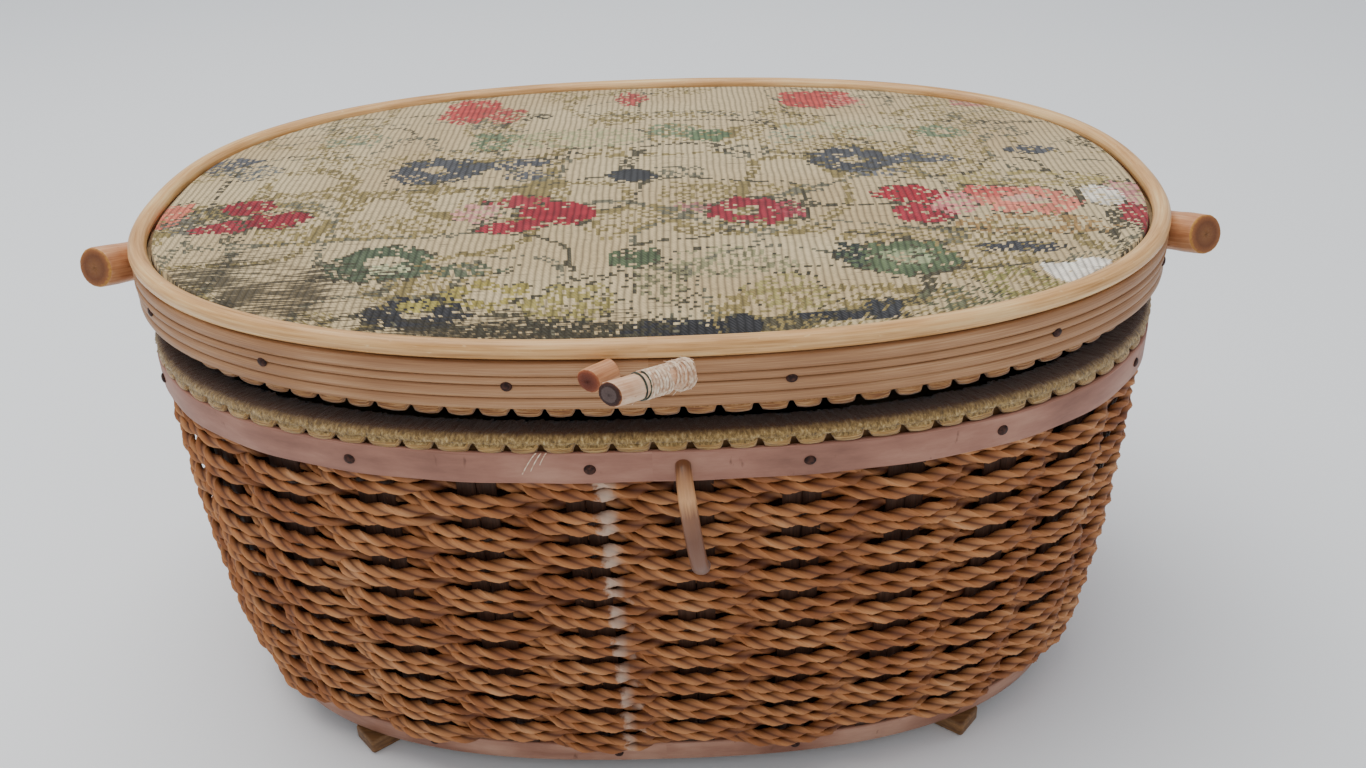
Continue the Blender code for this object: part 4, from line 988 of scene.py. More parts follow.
tree.links.new(bump.outputs[0], shader.inputs["Normal"])
# A near-black brown for the lining's back face: painted shade for the slits in the weave.
slit_shade_backing_look, tree, shader = blank("dark_backing_as_slit_shade", 0.95, Specular_IOR_Level=0.1)
coords = add_node(tree, "ShaderNodeTexCoord")
scrim = add_node(tree, "ShaderNodeTexNoise", {"Vector": coords.outputs["Object"], "Scale": 1 / (1.2 * MM)})
ramp = paint_ramp(add_node(tree, "ShaderNodeValToRGB", {0: scrim.outputs[0]}), [(0.35, "2a170f"), (0.7, "48291a")])
tree.links.new(ramp.outputs[0], shader.inputs["Base Color"])

# %% Lining
LINING_OUT = 7.35
PLEATS = 116
lining_low, lining_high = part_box("lining")
LINING_FLOOR = lining_low.z / MM + 0.5
LINING_TOP = lining_high.z / MM - 0.9
pleat_size = drift(40, 0.3, BODY_ROUND)


def gathered(u, v):
    fold = np.abs(np.sin(math.pi * PLEATS * u + 2.2 * pleat_size(u * 1.7))) ** 1.5
    deep = (0.12 + 0.62 * v) * (1 + pleat_size(u)) * fold
    tuck = np.clip((v - 0.985) / 0.015, 0, 1) * -0.3
    return on_wall(u, LINING_OUT + deep + tuck, LINING_FLOOR + v * (LINING_TOP - LINING_FLOOR))


LINING_HEIGHT = (LINING_TOP - LINING_FLOOR) * MM
bm = skin(PLEATS * 8, 18, gathered, BODY_ROUND, LINING_TOP - LINING_FLOOR)
centre = Vector((0, BODY_MIDDLE.y * MM, 0))
first = bm.faces[:][0]
if first.normal.dot(first.calc_center_median() - centre) > 0:
    bmesh.ops.reverse_faces(bm, faces=bm.faces)
lining = solid("gathered_satin_lining", bm, satin_look, "basket", "satin", "lining", smooth=180)
# The back face takes the dark brown backing, painted shade seen through the slits.
lining.data.materials.append(slit_shade_backing_look)
cloth = lining.modifiers.new("cloth thickness", "SOLIDIFY")
cloth.thickness = 0.25 * MM
cloth.offset = 1.0
cloth.material_offset = 1
floor_half_x, floor_half_y = (on_wall(np.array([0.25, 0.0]), LINING_OUT + 0.9, LINING_FLOOR)[[0, 1], [0, 1]])
floor_half_x = abs(floor_half_x) / MM
floor_half_y = abs(floor_half_y / MM - BODY_MIDDLE.y)


def floor_height(edge, x, y):
    return LINING_FLOOR + 0.5 + 0.5 * (grain(x, y, 17, 50) - 0.5) * np.clip(edge * 8, 0, 1)


bm = oval_grid(64, 44, floor_half_x, floor_half_y, 2.5, floor_height)
for vert in bm.verts:
    vert.co.y += (BODY_MIDDLE.y - LID_MIDDLE.y) * MM
base_cloth = solid("satin_floor", bm, satin_look, "basket", "satin", smooth=180)
cloth = base_cloth.modifiers.new("cloth thickness", "SOLIDIFY")
cloth.thickness = 0.25 * MM

# %% [markdown]
# ## The lid's satin pad
# Under the lid is a thin cushion, satin over wadding. A flat closed form is blown up a little with Cloth
# so that it swells between its edges, as stuffing does, and the movement of each point is capped so that
# it keeps inside the lid. Fine gathers round its edge come after, because cloth this coarse loses them.

# %% Lid pad
pad_low, pad_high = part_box("lid_lining")
PAD_HALF_X = (pad_high.x - pad_low.x) / 2 / MM
PAD_HALF_Y = (pad_high.y - pad_low.y) / 2 / MM
PAD_UNDER = pad_low.z / MM
PAD_TOP = pad_high.z / MM - 0.2


def pad_under(edge, x, y):
    rounding = np.clip(edge / 0.045, 0, 1)
    return PAD_UNDER + 4.6 - 2.6 * np.sqrt(rounding * (2 - rounding))


def blown_up(name, mesh, pressure, cap):
    """Simulate a closed cloth form under pressure for 20 frames and return where its points went."""
    body = bpy.data.objects.new(name, mesh.copy())
    bpy.context.scene.collection.objects.link(body)
    cloth_settings = body.modifiers.new("cloth", "CLOTH").settings
    cloth_settings.use_pressure = True
    cloth_settings.uniform_pressure_force = pressure
    cloth_settings.effector_weights.gravity = 0.0
    held = body.vertex_groups.new(name="glued")
    glued = [vert.index for vert in body.data.vertices if vert.co.z > (PAD_TOP - 0.5) * MM]
    held.add(glued, 1.0, "REPLACE")
    cloth_settings.vertex_group_mass = "glued"
    body.modifiers["cloth"].point_cache.frame_end = 20
    for frame_number in range(1, 21):
        bpy.context.scene.frame_set(frame_number)
    settled = body.evaluated_get(bpy.context.evaluated_depsgraph_get()).to_mesh()
    moved = np.empty(len(settled.vertices) * 3)
    settled.vertices.foreach_get("co", moved)
    bpy.data.objects.remove(body)
    bpy.context.scene.frame_set(1)
    start = np.empty(len(mesh.vertices) * 3)
    mesh.vertices.foreach_get("co", start)
    travel = (moved - start).reshape(-1, 3)
    length = np.linalg.norm(travel, axis=1, keepdims=True)
    return start.reshape(-1, 3) + travel * np.minimum(1, cap * MM / np.maximum(length, 1e-9))


bm = closed_pad(72, 50, PAD_HALF_X - 0.6, PAD_HALF_Y - 0.6, 2.36, lambda edge, x, y: PAD_TOP + 0 * x, pad_under)
lid_pad = solid("lid_satin_pad", bm, satin_look, "lid", "satin", "lid_lining", smooth=180)
lid_pad.data.vertices.foreach_set("co", blown_up("pad_trial", lid_pad.data, 4.0, 1.8).ravel())
for vert in lid_pad.data.vertices:
    x = vert.co.x / MM / PAD_HALF_X
    y = (vert.co.y / MM - LID_MIDDLE.y) / PAD_HALF_Y
    near_edge = max(0.0, 1 - (1 - (abs(x) ** 2.36 + abs(y) ** 2.36) ** (1 / 2.36)) / 0.22)
    if vert.co.z < (PAD_TOP - 1) * MM:
        vert.co.z += 0.45 * MM * near_edge * math.sin(96 * math.atan2(y, x) + 2 * math.sin(7 * math.atan2(y, x)))
        vert.co.z = max(vert.co.z, (PAD_UNDER - 0.1) * MM)
rounder = lid_pad.modifiers.new("smooth cloth", "SUBSURF")
rounder.levels = 1
rounder.render_levels = 1
print("lid pad faces:", len(lid_pad.data.polygons))

# %% [markdown]
# ## Cane pegs
# The side pegs and the toggle are short lengths of cane. A cane is a skin round a straight line: its
# section repeats along it, then runs in over a worn edge to the middle of the cut end. The bark side is
# reddish tan with a low shine, and the cut end shows a darker ring and a brown pith.

# %% Cane materials
bark_look = reed_finish("varnished_cane_bark", ("9a5d3a", "c58d63", "e0b48a"), 0.8, 14, 0.42, 0.15, "8a4c2c")


def cut_end(name, codes, places):
    """Sawn cane: pores and rings, coloured by the distance in from the edge, which is the UV map's V."""
    made, tree, shader = blank(name, 0.6, Specular_IOR_Level=0.3)
    uv = add_node(tree, "ShaderNodeTexCoord").outputs["UV"]
    parts = add_node(tree, "ShaderNodeSeparateXYZ", {0: uv})
    pores = add_node(tree, "ShaderNodeTexNoise", {"Vector": uv, "Scale": 1.6, "Detail": 4.0})
    rough = add_node(tree, "ShaderNodeMapRange", {0: pores.outputs[0], 3: -0.5, 4: 0.5})
    inward = add_node(tree, "ShaderNodeMath", {0: parts.outputs["Y"], 1: rough.outputs[0]})
    share = add_node(tree, "ShaderNodeMapRange", {0: inward.outputs[0], 1: 100.0, 2: 104.8})
    ramp = paint_ramp(add_node(tree, "ShaderNodeValToRGB", {0: share.outputs[0]}), list(zip(places, codes)))
    tree.links.new(ramp.outputs[0], shader.inputs["Base Color"])
    bump = add_node(tree, "ShaderNodeBump", {"Height": pores.outputs[0], "Strength": 0.8, "Distance": 0.3 * MM})
    tree.links.new(bump.outputs[0], shader.inputs["Normal"])
    return made


peg_end_look = cut_end("weathered_cane_end", ("c08a3e", "8f5a34", "6f4227", "8a5c38"), (0.0, 0.14, 0.4, 0.9))
toggle_end_look = cut_end("stained_cane_end", ("a86a3c", "3f2018", "35211c", "5b4a46"), (0.0, 0.12, 0.34, 0.42))


def cane(name, start, heading, length, radius, looks, body, slot, *nodes, wear=0.25, curved_root=False, slant=0.0):
    """A length of cane from start along heading, with its cut end worn round. slant leans the cut to the front."""
    edge = min(0.8, radius * 0.3)
    profile = [(radius, 0.0), (radius * 0.985, length * 0.3), (radius * 1.01, length * 0.6), (radius, length - edge)]
    for step in range(1, 4):
        angle = math.radians(90 * step / 3)
        profile.append((radius - edge + edge * math.cos(angle), length - edge + edge * math.sin(angle)))
    profile += [(radius * share, length + 0.12 * wear) for share in (0.66, 0.45, 0.22, 0.0)]
    profile = np.array(profile)
    sides = 36
    lumps = chance.uniform(-1, 1, (len(profile), sides + 1))
    lumps[:, -1] = lumps[:, 0]

    def where(u, v):
        row = np.rint(v * (len(profile) - 1)).astype(int)
        turn = 2 * math.pi * u
        column = np.rint(u * sides).astype(int)
        out = profile[row, 0] * (1 + 0.03 * np.cos(2 * turn + 0.6))
        out = out + wear * 0.3 * lumps[row, column] * (profile[row, 0] > 0.1)
        far = profile[row, 1] + wear * 0.25 * lumps[row, column] * (profile[row, 1] > length - 0.05)
        return np.stack([out * np.cos(turn), out * np.sin(turn), far], axis=-1) * MM

    bm = skin(sides, len(profile) - 1, where, 2 * math.pi * radius, len(profile) - 1)
    layer = bm.loops.layers.uv.active
    for face in bm.faces:
        at_end = min(vert.co.z for vert in face.verts) > (length - edge * 0.75) * MM
        face.material_index = int(at_end)
        for loop in face.loops:
            reach = math.hypot(loop.vert.co.x, loop.vert.co.y) / MM
            along = loop.vert.co.z / MM
            around = loop[layer].uv.x
            inward = 100 + 4.8 * (1 - reach / radius)
            loop[layer].uv = (around, inward) if at_end else (along, around)
    heading = heading.normalized()
    turn = heading.to_track_quat("Z", "Y").to_matrix().to_4x4()
    front = turn.inverted() @ Vector((0, -1, 0))
    for vert in bm.verts:
        near_end = max(0.0, 1 - (length * MM - vert.co.z) / (2 * radius * MM))
        vert.co.z -= slant * min(1.0, near_end) * (vert.co.x * front.x + vert.co.y * front.y)
    bmesh.ops.transform(bm, matrix=Matrix.Translation(start) @ turn, verts=bm.verts)
    if curved_root:
        for vert in bm.verts:
            if (vert.co - start).dot(heading) < 0.1 * MM:
                vert.co = out_of_lid(vert.co, heading)
    open_rim = [item for item in bm.edges if item.is_boundary]
    bmesh.ops.holes_fill(bm, edges=open_rim, sides=0)
    bmesh.ops.recalc_face_normals(bm, faces=bm.faces)
    piece = solid(name, bm, looks[0], body, slot, *nodes, smooth=50)
    piece.data.materials.append(looks[1])
    return piece


# %% Side pegs
PEG_RADIUS = 5.0
PEG_TURN = math.radians(66)
PEG_LIFT = math.radians(15)
PEG_PLACE = Vector((130.15, LID_MIDDLE.y - 20.3, 124.0))


def out_of_lid(point, heading):
    """Where a line from inside the lid comes out of its oval, found by halving."""
    near, far = -3 * PEG_RADIUS, 4 * PEG_RADIUS
    for turn in range(30):
        middle = (near + far) / 2
        place = (point + heading * middle * MM) / MM
        reach = abs(place.x / LID_HALF.x) ** 2.36 + abs((place.y - LID_MIDDLE.y) / LID_HALF.y) ** 2.36
        near, far = (middle, far) if reach < 1 else (near, middle)
    return point + heading * far * MM


for end, sign in (("left", -1), ("right", 1)):
    flat = math.cos(PEG_LIFT)
    heading = Vector((sign * math.cos(PEG_TURN) * flat, -math.sin(PEG_TURN) * flat, math.sin(PEG_LIFT)))
    root = Vector((sign * PEG_PLACE.x, PEG_PLACE.y, PEG_PLACE.z)) * MM
    cane(f"cane_peg_{end}", root, heading, 14.4, PEG_RADIUS, (bark_look, peg_end_look), "lid", "brown_reed",
         f"side_peg_{end}", curved_root=True)
print("pegs at", tuple(round(item, 1) for item in PEG_PLACE))

# %% [markdown]
# ## Toggle
# The toggle is two short pieces of cane, crossed where they meet the lid. The longer one was whipped with
# cream thread, which has frayed at its root and shows the cane between its turns. A thread is a curve with
# a round bevel, made a mesh, so the turns of the whipping catch the light one by one.

# %% Threads


def threads(name, paths, radius, look, body, slot, *nodes, sides=1):
    """Thin round threads along lists of points in metres, as one piece."""
    curve = bpy.data.curves.new(name, "CURVE")
    curve.dimensions = "3D"
    curve.bevel_depth = radius * MM
    curve.bevel_resolution = sides
    curve.use_fill_caps = True
    for path in paths:
        spline = curve.splines.new("POLY")
        spline.points.add(len(path) - 1)
        spline.points.foreach_set("co", np.column_stack([path, np.ones(len(path))]).ravel())
    holder = bpy.data.objects.new(name, curve)
    bpy.context.scene.collection.objects.link(holder)
    mesh = bpy.data.meshes.new_from_object(holder.evaluated_get(bpy.context.evaluated_depsgraph_get()))
    bpy.data.objects.remove(holder)
    return finished(name, mesh, look, body, slot, *nodes, smooth=180)


def thread_finish(name, codes, roughness=0.8):
    """Cotton: tone changes from turn to turn, with fluff on it."""
    made, tree, shader = blank(name, roughness, Specular_IOR_Level=0.2, Sheen_Weight=0.3)
    coords = add_node(tree, "ShaderNodeTexCoord")
    fluff = add_node(tree, "ShaderNodeTexNoise", {"Vector": coords.outputs["Object"], "Scale": 1 / (0.9 * MM),
                                                  "Detail": 4.0})
    ramp = paint_ramp(add_node(tree, "ShaderNodeValToRGB", {0: fluff.outputs[0]}), list(zip((0.32, 0.5, 0.68), codes)))
    tree.links.new(ramp.outputs[0], shader.inputs["Base Color"])
    bump = add_node(tree, "ShaderNodeBump", {"Height": fluff.outputs[0], "Strength": 0.6, "Distance": 0.1 * MM})
    tree.links.new(bump.outputs[0], shader.inputs["Normal"])
    return made


cream_look = thread_finish("cream_cotton_thread", ("b88e70", "dabd9f", "f0dfc8"))
dark_look = thread_finish("dark_green_thread", ("20261d", "333b2c", "4a5340"))
glue_look = thread_finish("dried_hide_glue", ("7c7433", "a39a4c", "c4b466"), 0.4)
worn_bark_look = reed_finish("worn_cane_bark", ("b98560", "dbb391", "ecd2b5"), 0.7, 8, 0.45, 0.15, "a86f48")

# %% Toggle sticks
TOGGLE_ROOT = Vector((8.0, -89.87, 129.1)) * MM
TOGGLE_TURN = math.radians(42.5)
TOGGLE_LIFT = math.radians(9)
TOGGLE_RADIUS = 2.62
level = Vector((-math.cos(TOGGLE_TURN), -math.sin(TOGGLE_TURN), 0))
toggle_way = level * math.cos(TOGGLE_LIFT) + Vector((0, 0, math.sin(TOGGLE_LIFT)))
cane("whipped_toggle_stick", TOGGLE_ROOT, toggle_way, 20.9, TOGGLE_RADIUS, (worn_bark_look, toggle_end_look),
     "toggle", "brown_reed", "toggle_peg", slant=0.45)
stub_root = Vector((-7.35, -88.1, 129.1)) * MM
cane("short_toggle_stub", stub_root, level, 6.4, TOGGLE_RADIUS, (bark_look, cut_end(
    "red_brown_cane_end", ("a5603a", "7e4029", "6b3322", "5e2c1e"), (0.0, 0.2, 0.5, 0.9))), "lid", "brown_reed",
    "toggle_stub", slant=0.45)

# %% Whipping
side_way = toggle_way.cross(Vector((0, 0, 1))).normalized()
up_way = side_way.cross(toggle_way)
axes_of_toggle = np.array([side_way, up_way, toggle_way])


def on_toggle(along, turn, out):
    """Points in metres, from mm along the stick, an angle round it and mm out from its middle."""
    local = np.stack([out * np.cos(turn), out * np.sin(turn), along + 0 * turn], axis=-1) * MM
    return local @ axes_of_toggle + np.array(TOGGLE_ROOT)


step_along = []
reach = 0.4
while reach < 12.4:
    step_along.append(reach)
    loose = 2.0 if 1.6 < reach < 4.4 else 1.0
    reach += 0.42 * loose / 14
step_along = np.array(step_along)
turns = np.arange(len(step_along)) * 2 * math.pi / 14
wobble = (0.09 * np.sin(turns * 0.37) + 0.05 * np.sin(turns * 1.71)) * np.clip((8 - step_along) / 3, 0.25, 1)
chafed = (np.abs(step_along - 4.9) < 1.7 + 0.4 * np.sin(turns)) & (np.cos(turns - math.pi - 0.3) > 0.2)
sunk_in = np.where(chafed, -0.75, 0.0)  # where the thread has worn away the stick's bark shows
whipping = [on_toggle(step_along + 0.12 * np.sin(turns * 0.5), turns, TOGGLE_RADIUS + 0.22 + wobble + sunk_in)]
for start in chance.uniform(0.4, 3.0, 9):
    arc_turn = np.linspace(0, chance.uniform(1.8, 4.5), 26) + chance.uniform(0, 6.3)
    slant = np.linspace(0, chance.uniform(-3.2, 3.2), 26)
    whipping.append(on_toggle(np.clip(start + slant, 0.2, 12.2), arc_turn, TOGGLE_RADIUS + 0.46 + 0.08 * np.sin(arc_turn * 3)))
threads("cream_whipping", whipping, 0.24, cream_look, "toggle", "thread", "toggle_thread")
frays = []
for start in chance.uniform(0.1, 5.2, 26):
    first_turn = chance.uniform(0.2, 3.4)
    grow = np.linspace(0, 1, 9)
    frays.append(on_toggle(start + grow * chance.uniform(-1.3, 1.3), first_turn + grow * chance.uniform(-1.2, 1.2),
                           TOGGLE_RADIUS + 0.35 + chance.uniform(0.3, 0.9) * grow ** 1.5))
grow = np.linspace(0, 1, 9)
frays.append(on_toggle(13.0 + 1.2 * grow, -1.45 + 0 * grow, TOGGLE_RADIUS + 0.1 + 1.2 * grow))
threads("frayed_thread_ends", frays, 0.07, cream_look, "toggle", "thread", sides=0)
ring_turn = np.linspace(0, 4.2 * math.pi, 60)
ring = on_toggle(12.9 + 0.7 * np.sin(ring_turn * 0.5 + 0.6), ring_turn, TOGGLE_RADIUS + 0.16)
threads("dark_green_tie", [ring], 0.22, dark_look, "toggle", "thread")
bm = bmesh.new()
place = Matrix.Translation(Vector(on_toggle(np.array(6.2), np.array(-1.1), TOGGLE_RADIUS + 0.35)))
bmesh.ops.create_icosphere(bm, subdivisions=3, radius=0.85 * MM, matrix=place)
for vert in bm.verts:
    vert.co += Vector(chance.uniform(-1, 1, 3)) * 0.09 * MM
solid("glue_speck", bm, glue_look, "toggle", "thread", smooth=180)
print("whipping turns:", round(float(turns[-1] / 2 / math.pi)))

# %% [markdown]
# ## Keeper
# A loop of flattened reed stands out under the band for the toggle's cord to pass behind. It is bent from
# one piece, so it is a flat oval section swept along its bend: a pale band is painted on as a highlight
# where it bows out, and it is brown at its root and grey at its tip.

# %% Keeper
keeper_look, tree, shader = blank("bent_reed_with_painted_highlight", 0.36, Specular_IOR_Level=0.45)
coords = add_node(tree, "ShaderNodeTexCoord")
axes = add_node(tree, "ShaderNodeSeparateXYZ", {0: coords.outputs["UV"]})
streak_way = add_node(tree, "ShaderNodeMapping", {"Vector": coords.outputs["UV"], "Scale": (1 / 9, 1 / 0.5, 1)})
streaks = add_node(tree, "ShaderNodeTexNoise", {"Vector": streak_way.outputs[0], "Scale": 1.0, "Detail": 4.0})
tone = add_node(tree, "ShaderNodeMapRange", {0: streaks.outputs[0], 3: -2.4, 4: 2.4})
place = add_node(tree, "ShaderNodeMath", {0: axes.outputs["X"], 1: tone.outputs[0]})
share = add_node(tree, "ShaderNodeMapRange", {0: place.outputs[0], 1: 0.0, 2: 42.0})
# The pale stop about a fifth of the way along is a painted highlight where the loop bows out.
ramp = paint_ramp(add_node(tree, "ShaderNodeValToRGB", {0: share.outputs[0]}),
                  [(0.04, "6e4429"), (0.1, "a0704a"), (0.2, "cf9c6c"), (0.28, "855a3f"), (0.42, "6f4630"), (0.58, "7a5441"),
                   (0.68, "7d675f")])
tree.links.new(ramp.outputs[0], shader.inputs["Base Color"])
bump = add_node(tree, "ShaderNodeBump", {"Height": streaks.outputs[0], "Strength": 0.4, "Distance": 0.15 * MM})
tree.links.new(bump.outputs[0], shader.inputs["Normal"])
BEND = ((0, 0), (0.22, 0.01), (0.7, 0.12), (0.95, 0.3), (1, 0.5), (0.94, 0.7), (0.66, 0.9), (0.2, 0.99), (0, 1))
KEEPER_DROP = 26.5
KEEPER_ROOT = 104.6
KEEPER_OUT = 8.0
knots = np.array(BEND)
for turn in range(4):  # round the corners off, twice as many points each time
    cut = np.concatenate([[knots[0]], np.stack([knots[:-1] * 0.75 + knots[1:] * 0.25,
                                                knots[:-1] * 0.25 + knots[1:] * 0.75], 1).reshape(-1, 2), [knots[-1]]])
    knots = cut
keeper_low, keeper_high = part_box("latch_keeper")
keeper_y = (keeper_high.y - 1.0 * MM) / MM
line = np.stack([6.5 + 3.5 * knots[:, 1], keeper_y - KEEPER_OUT * knots[:, 0], KEEPER_ROOT - KEEPER_DROP * knots[:, 1]], 1)
run = np.concatenate([[0], np.cumsum(np.linalg.norm(np.diff(line, axis=0), axis=1))])


def on_keeper(u, v):
    along = u * run[-1]
    middle = np.stack([np.interp(along, run, line[:, axis]) for axis in range(3)], -1)
    ahead = np.stack([np.interp(along + 0.6, run, line[:, axis]) for axis in range(3)], -1)
    behind = np.stack([np.interp(along - 0.6, run, line[:, axis]) for axis in range(3)], -1)
    way = (ahead - behind) / np.linalg.norm(ahead - behind, axis=-1, keepdims=True)
    sideways = np.array([1.0, 0, 0]) - way * way[:, :1]
    sideways /= np.linalg.norm(sideways, axis=-1, keepdims=True)
    outward = np.cross(sideways, way)
    turn = 2 * math.pi * v
    wide = 1.95 - 0.25 * np.clip(1 - u / 0.25, 0, 1)
    return (middle + sideways * (wide * np.cos(turn))[:, None] + outward * (1.45 * np.sin(turn))[:, None]) * MM


bm = skin(60, 18, on_keeper, run[-1], 11.5)
bmesh.ops.holes_fill(bm, edges=[item for item in bm.edges if item.is_boundary], sides=0)
bmesh.ops.recalc_face_normals(bm, faces=bm.faces)
solid("bent_reed_keeper", bm, keeper_look, "basket", "golden_reed", "latch_keeper", smooth=70)
print("keeper length:", round(float(run[-1]), 1), "mm")

# %% [markdown]
# A few threads of the gimp have come loose and hang over the band.

# %% Loose threads
loose = []
for share_start, length, lean in ((-0.0325, 4.6, 2.6), (-0.031, 3.0, 1.6), (-0.034, 5.4, 3.4)):
    drop = np.linspace(0, 1, 12)
    x_shift = lean / BODY_ROUND * drop ** 0.8
    sag = on_wall(share_start - x_shift, -0.75 - 0.5 * np.sin(drop * math.pi), BAND_TOP + 0.6 - length * drop)
    loose.append(sag)
threads("loose_gimp_threads", loose, 0.12, cream_look, "basket", "gold_braid", sides=0)

# %% [markdown]
# ## Trays
# Two board trays stand side by side on a ledge inside. They are covered in navy paper, with a limewood
# divider each and a ribbon loop to lift them by. The CAD gives their shape, so each is a copy of its solid
# with its doubles merged and its edges eased by a small bevel.

# %% Softened copies


def eased(name, node, look, body, slot, width):
    bm = bmesh.new()
    bm.from_mesh(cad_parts[node].data)
    bmesh.ops.remove_doubles(bm, verts=bm.verts, dist=0.005 * MM)
    bmesh.ops.dissolve_limit(bm, angle_limit=math.radians(1), verts=bm.verts, edges=bm.edges)
    sharp = [item for item in bm.edges if item.is_manifold and item.calc_face_angle() > math.radians(40)]
    bmesh.ops.bevel(bm, geom=sharp, offset=width * MM, segments=2, profile=0.5, affect="EDGES", material=-1,
                    clamp_overlap=True)
    bmesh.ops.triangulate(bm, faces=[face for face in bm.faces if len(face.verts) > 4])
    return solid(name, bm, look, body, slot, node, smooth=50)


paper_look, tree, shader = blank("navy_marbled_paper", 0.55, Specular_IOR_Level=0.3)
coords = add_node(tree, "ShaderNodeTexCoord")
marbling = add_node(tree, "ShaderNodeTexNoise", {"Vector": coords.outputs["Object"], "Scale": 1 / (9 * MM),
                                                 "Detail": 5.0, "Distortion": 1.4})
ramp = paint_ramp(add_node(tree, "ShaderNodeValToRGB", {0: marbling.outputs[0]}),
                  [(0.38, "22304a"), (0.5, "31425c"), (0.62, "485b76")])
tree.links.new(ramp.outputs[0], shader.inputs["Base Color"])
pulp = add_node(tree, "ShaderNodeTexNoise", {"Vector": coords.outputs["Object"], "Scale": 1 / (0.5 * MM)})
bump = add_node(tree, "ShaderNodeBump", {"Height": pulp.outputs[0], "Strength": 0.3, "Distance": 0.08 * MM})
tree.links.new(bump.outputs[0], shader.inputs["Normal"])
for end in ("left", "right"):
    eased(f"paper_covered_tray_{end}", f"tray_{end}", paper_look, f"{end}_tray", "tray_board", 0.35)
    eased(f"limewood_divider_{end}", f"tray_divider_{end}", thin_board_look, f"{end}_tray", "tray_wood", 0.3)
    for depth in ("front", "back"):
        eased(f"beech_foot_{depth}_{end}", f"foot_{depth}_{end}", wood_look, "basket", "wood", 0.6)

# %% [markdown]
# Each ribbon is one strip of satin, folded over into a loop with one end glued to the tray. Its length is
# the length of that loop laid flat.

# %% Ribbon loops
ribbon_look, tree, shader = blank("navy_satin_ribbon", 0.32, Specular_IOR_Level=0.5, Sheen_Weight=0.2)
coords = add_node(tree, "ShaderNodeTexCoord")
ribbed = add_node(tree, "ShaderNodeMapping", {"Vector": coords.outputs["UV"], "Scale": (1 / 0.4, 1 / 6, 1)})
fine = add_node(tree, "ShaderNodeTexNoise", {"Vector": ribbed.outputs[0], "Scale": 1.0})
ramp = paint_ramp(add_node(tree, "ShaderNodeValToRGB", {0: fine.outputs[0]}), [(0.38, "152238"), (0.62, "2d3f5c")])
tree.links.new(ramp.outputs[0], shader.inputs["Base Color"])
for end, sign in (("left", -1), ("right", 1)):
    low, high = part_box(f"tray_ribbon_{end}")
    near = min(abs(low.x), abs(high.x)) / MM + 0.4
    far = max(abs(low.x), abs(high.x)) / MM - 0.4
    bend = (far - near) / 2
    top = high.z / MM - 0.4 - bend
    turn = np.linspace(math.pi, 0, 13)
    loop_x = np.concatenate([[near], (near + far) / 2 + bend * np.cos(turn), [far]])
    loop_z = np.concatenate([[low.z / MM], top + bend * np.sin(turn), [low.z / MM + 4]])
    run = np.concatenate([[0], np.cumsum(np.hypot(np.diff(loop_x), np.diff(loop_z)))])

    def on_loop(u, v, sign=sign, loop_x=loop_x, loop_z=loop_z, run=run, low=low, high=high):
        x = np.interp(u * run[-1], run, loop_x) * sign
        return np.stack([x * MM, low.y + v * (high.y - low.y), np.interp(u * run[-1], run, loop_z) * MM], -1)

    ribbon = solid(f"lifting_ribbon_{end}", skin(40, 6, on_loop, run[-1], 10.0), ribbon_look, f"{end}_tray", "ribbon",
                   f"tray_ribbon_{end}", smooth=180)
    cloth = ribbon.modifiers.new("ribbon thickness", "SOLIDIFY")
    cloth.thickness = 0.4 * MM
    cloth.offset = 0.0
    print("ribbon", end, round(float(run[-1]), 1), "mm long")

# %% [markdown]
# ## Finishes for the rest of the frame
# The hoops inside the rim and lid, the base board, the card lid board, the tray ledge and the reed hinges
# keep the CAD's own shapes. They have no UV map laid along the grain, so their finishes read Object
# coordinates.

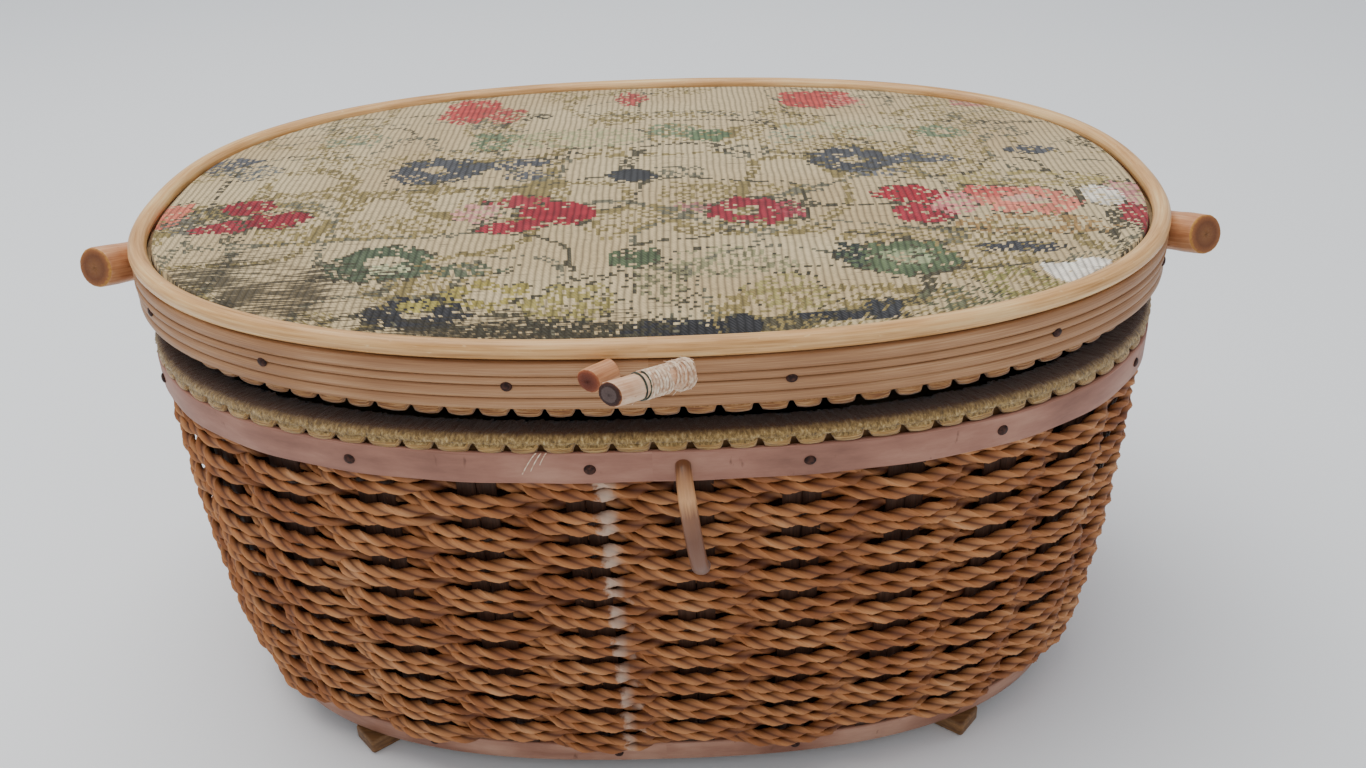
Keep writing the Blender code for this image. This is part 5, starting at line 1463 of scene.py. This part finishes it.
# %% Frame finishes
for name, look in (("rim_core", wood_look), ("lid_frame", wood_look), ("base_board", wood_look),
                   ("lid_board", card_look), ("tray_ledge", thin_board_look), ("hinge_rod_left", rod_look),
                   ("hinge_rod_right", rod_look), ("hinge_strap_left", strap_look), ("hinge_strap_right", strap_look),
                   ("lid_strap_left", strap_look), ("lid_strap_right", strap_look)):
    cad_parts[name].data.materials.clear()
    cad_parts[name].data.materials.append(look)
print("frame nodes finished")

# %% [markdown]
# ## Light and floor
# One large soft light hangs above and a little behind, so that the lid is brighter than the front. A cool
# world fills the shadows, and the floor is plain and pale.

# %% Light and floor
floor_look, tree, shader = blank("pale_floor", 0.8, Specular_IOR_Level=0.2)
coords = add_node(tree, "ShaderNodeTexCoord")
faint = add_node(tree, "ShaderNodeTexNoise", {"Vector": coords.outputs["Object"], "Scale": 2.0})
ramp = paint_ramp(add_node(tree, "ShaderNodeValToRGB", {0: faint.outputs[0]}), [(0.3, "f2f5f7"), (0.7, "f5f8f9")])
tree.links.new(ramp.outputs[0], shader.inputs["Base Color"])
bm = bmesh.new()
bmesh.ops.create_grid(bm, x_segments=4, y_segments=4, size=4.0)
floor_mesh = bpy.data.meshes.new("floor")
bm.to_mesh(floor_mesh)
bm.free()
floor_mesh.materials.append(floor_look)
floor = bpy.data.objects.new("floor", floor_mesh)
bpy.context.scene.collection.objects.link(floor)


def soft_light(name, place, aim, size, power, tint):
    lamp = bpy.data.lights.new(name, "AREA")
    lamp.energy = power
    lamp.size = size
    lamp.color = tint
    holder = bpy.data.objects.new(name, lamp)
    holder.location = place
    holder.rotation_euler = (Vector(aim) - Vector(place)).to_track_quat("-Z", "Y").to_euler()
    bpy.context.scene.collection.objects.link(holder)


soft_light("overhead", (-0.25, 0.1, 1.2), (0, 0, 0.1), 1.1, 14.0, (1.0, 0.98, 0.95))
soft_light("front_fill", (0.3, -1.1, 0.7), (0, 0, 0.06), 0.9, 2.0, (1.0, 0.96, 0.92))
world = bpy.data.worlds.new("soft_room")
world.use_nodes = True
world.node_tree.nodes["Background"].inputs[0].default_value = (0.9, 0.93, 1.0, 1.0)
world.node_tree.nodes["Background"].inputs[1].default_value = 0.64
bpy.context.scene.world = world
print("lights:", [item.name for item in bpy.data.lights])
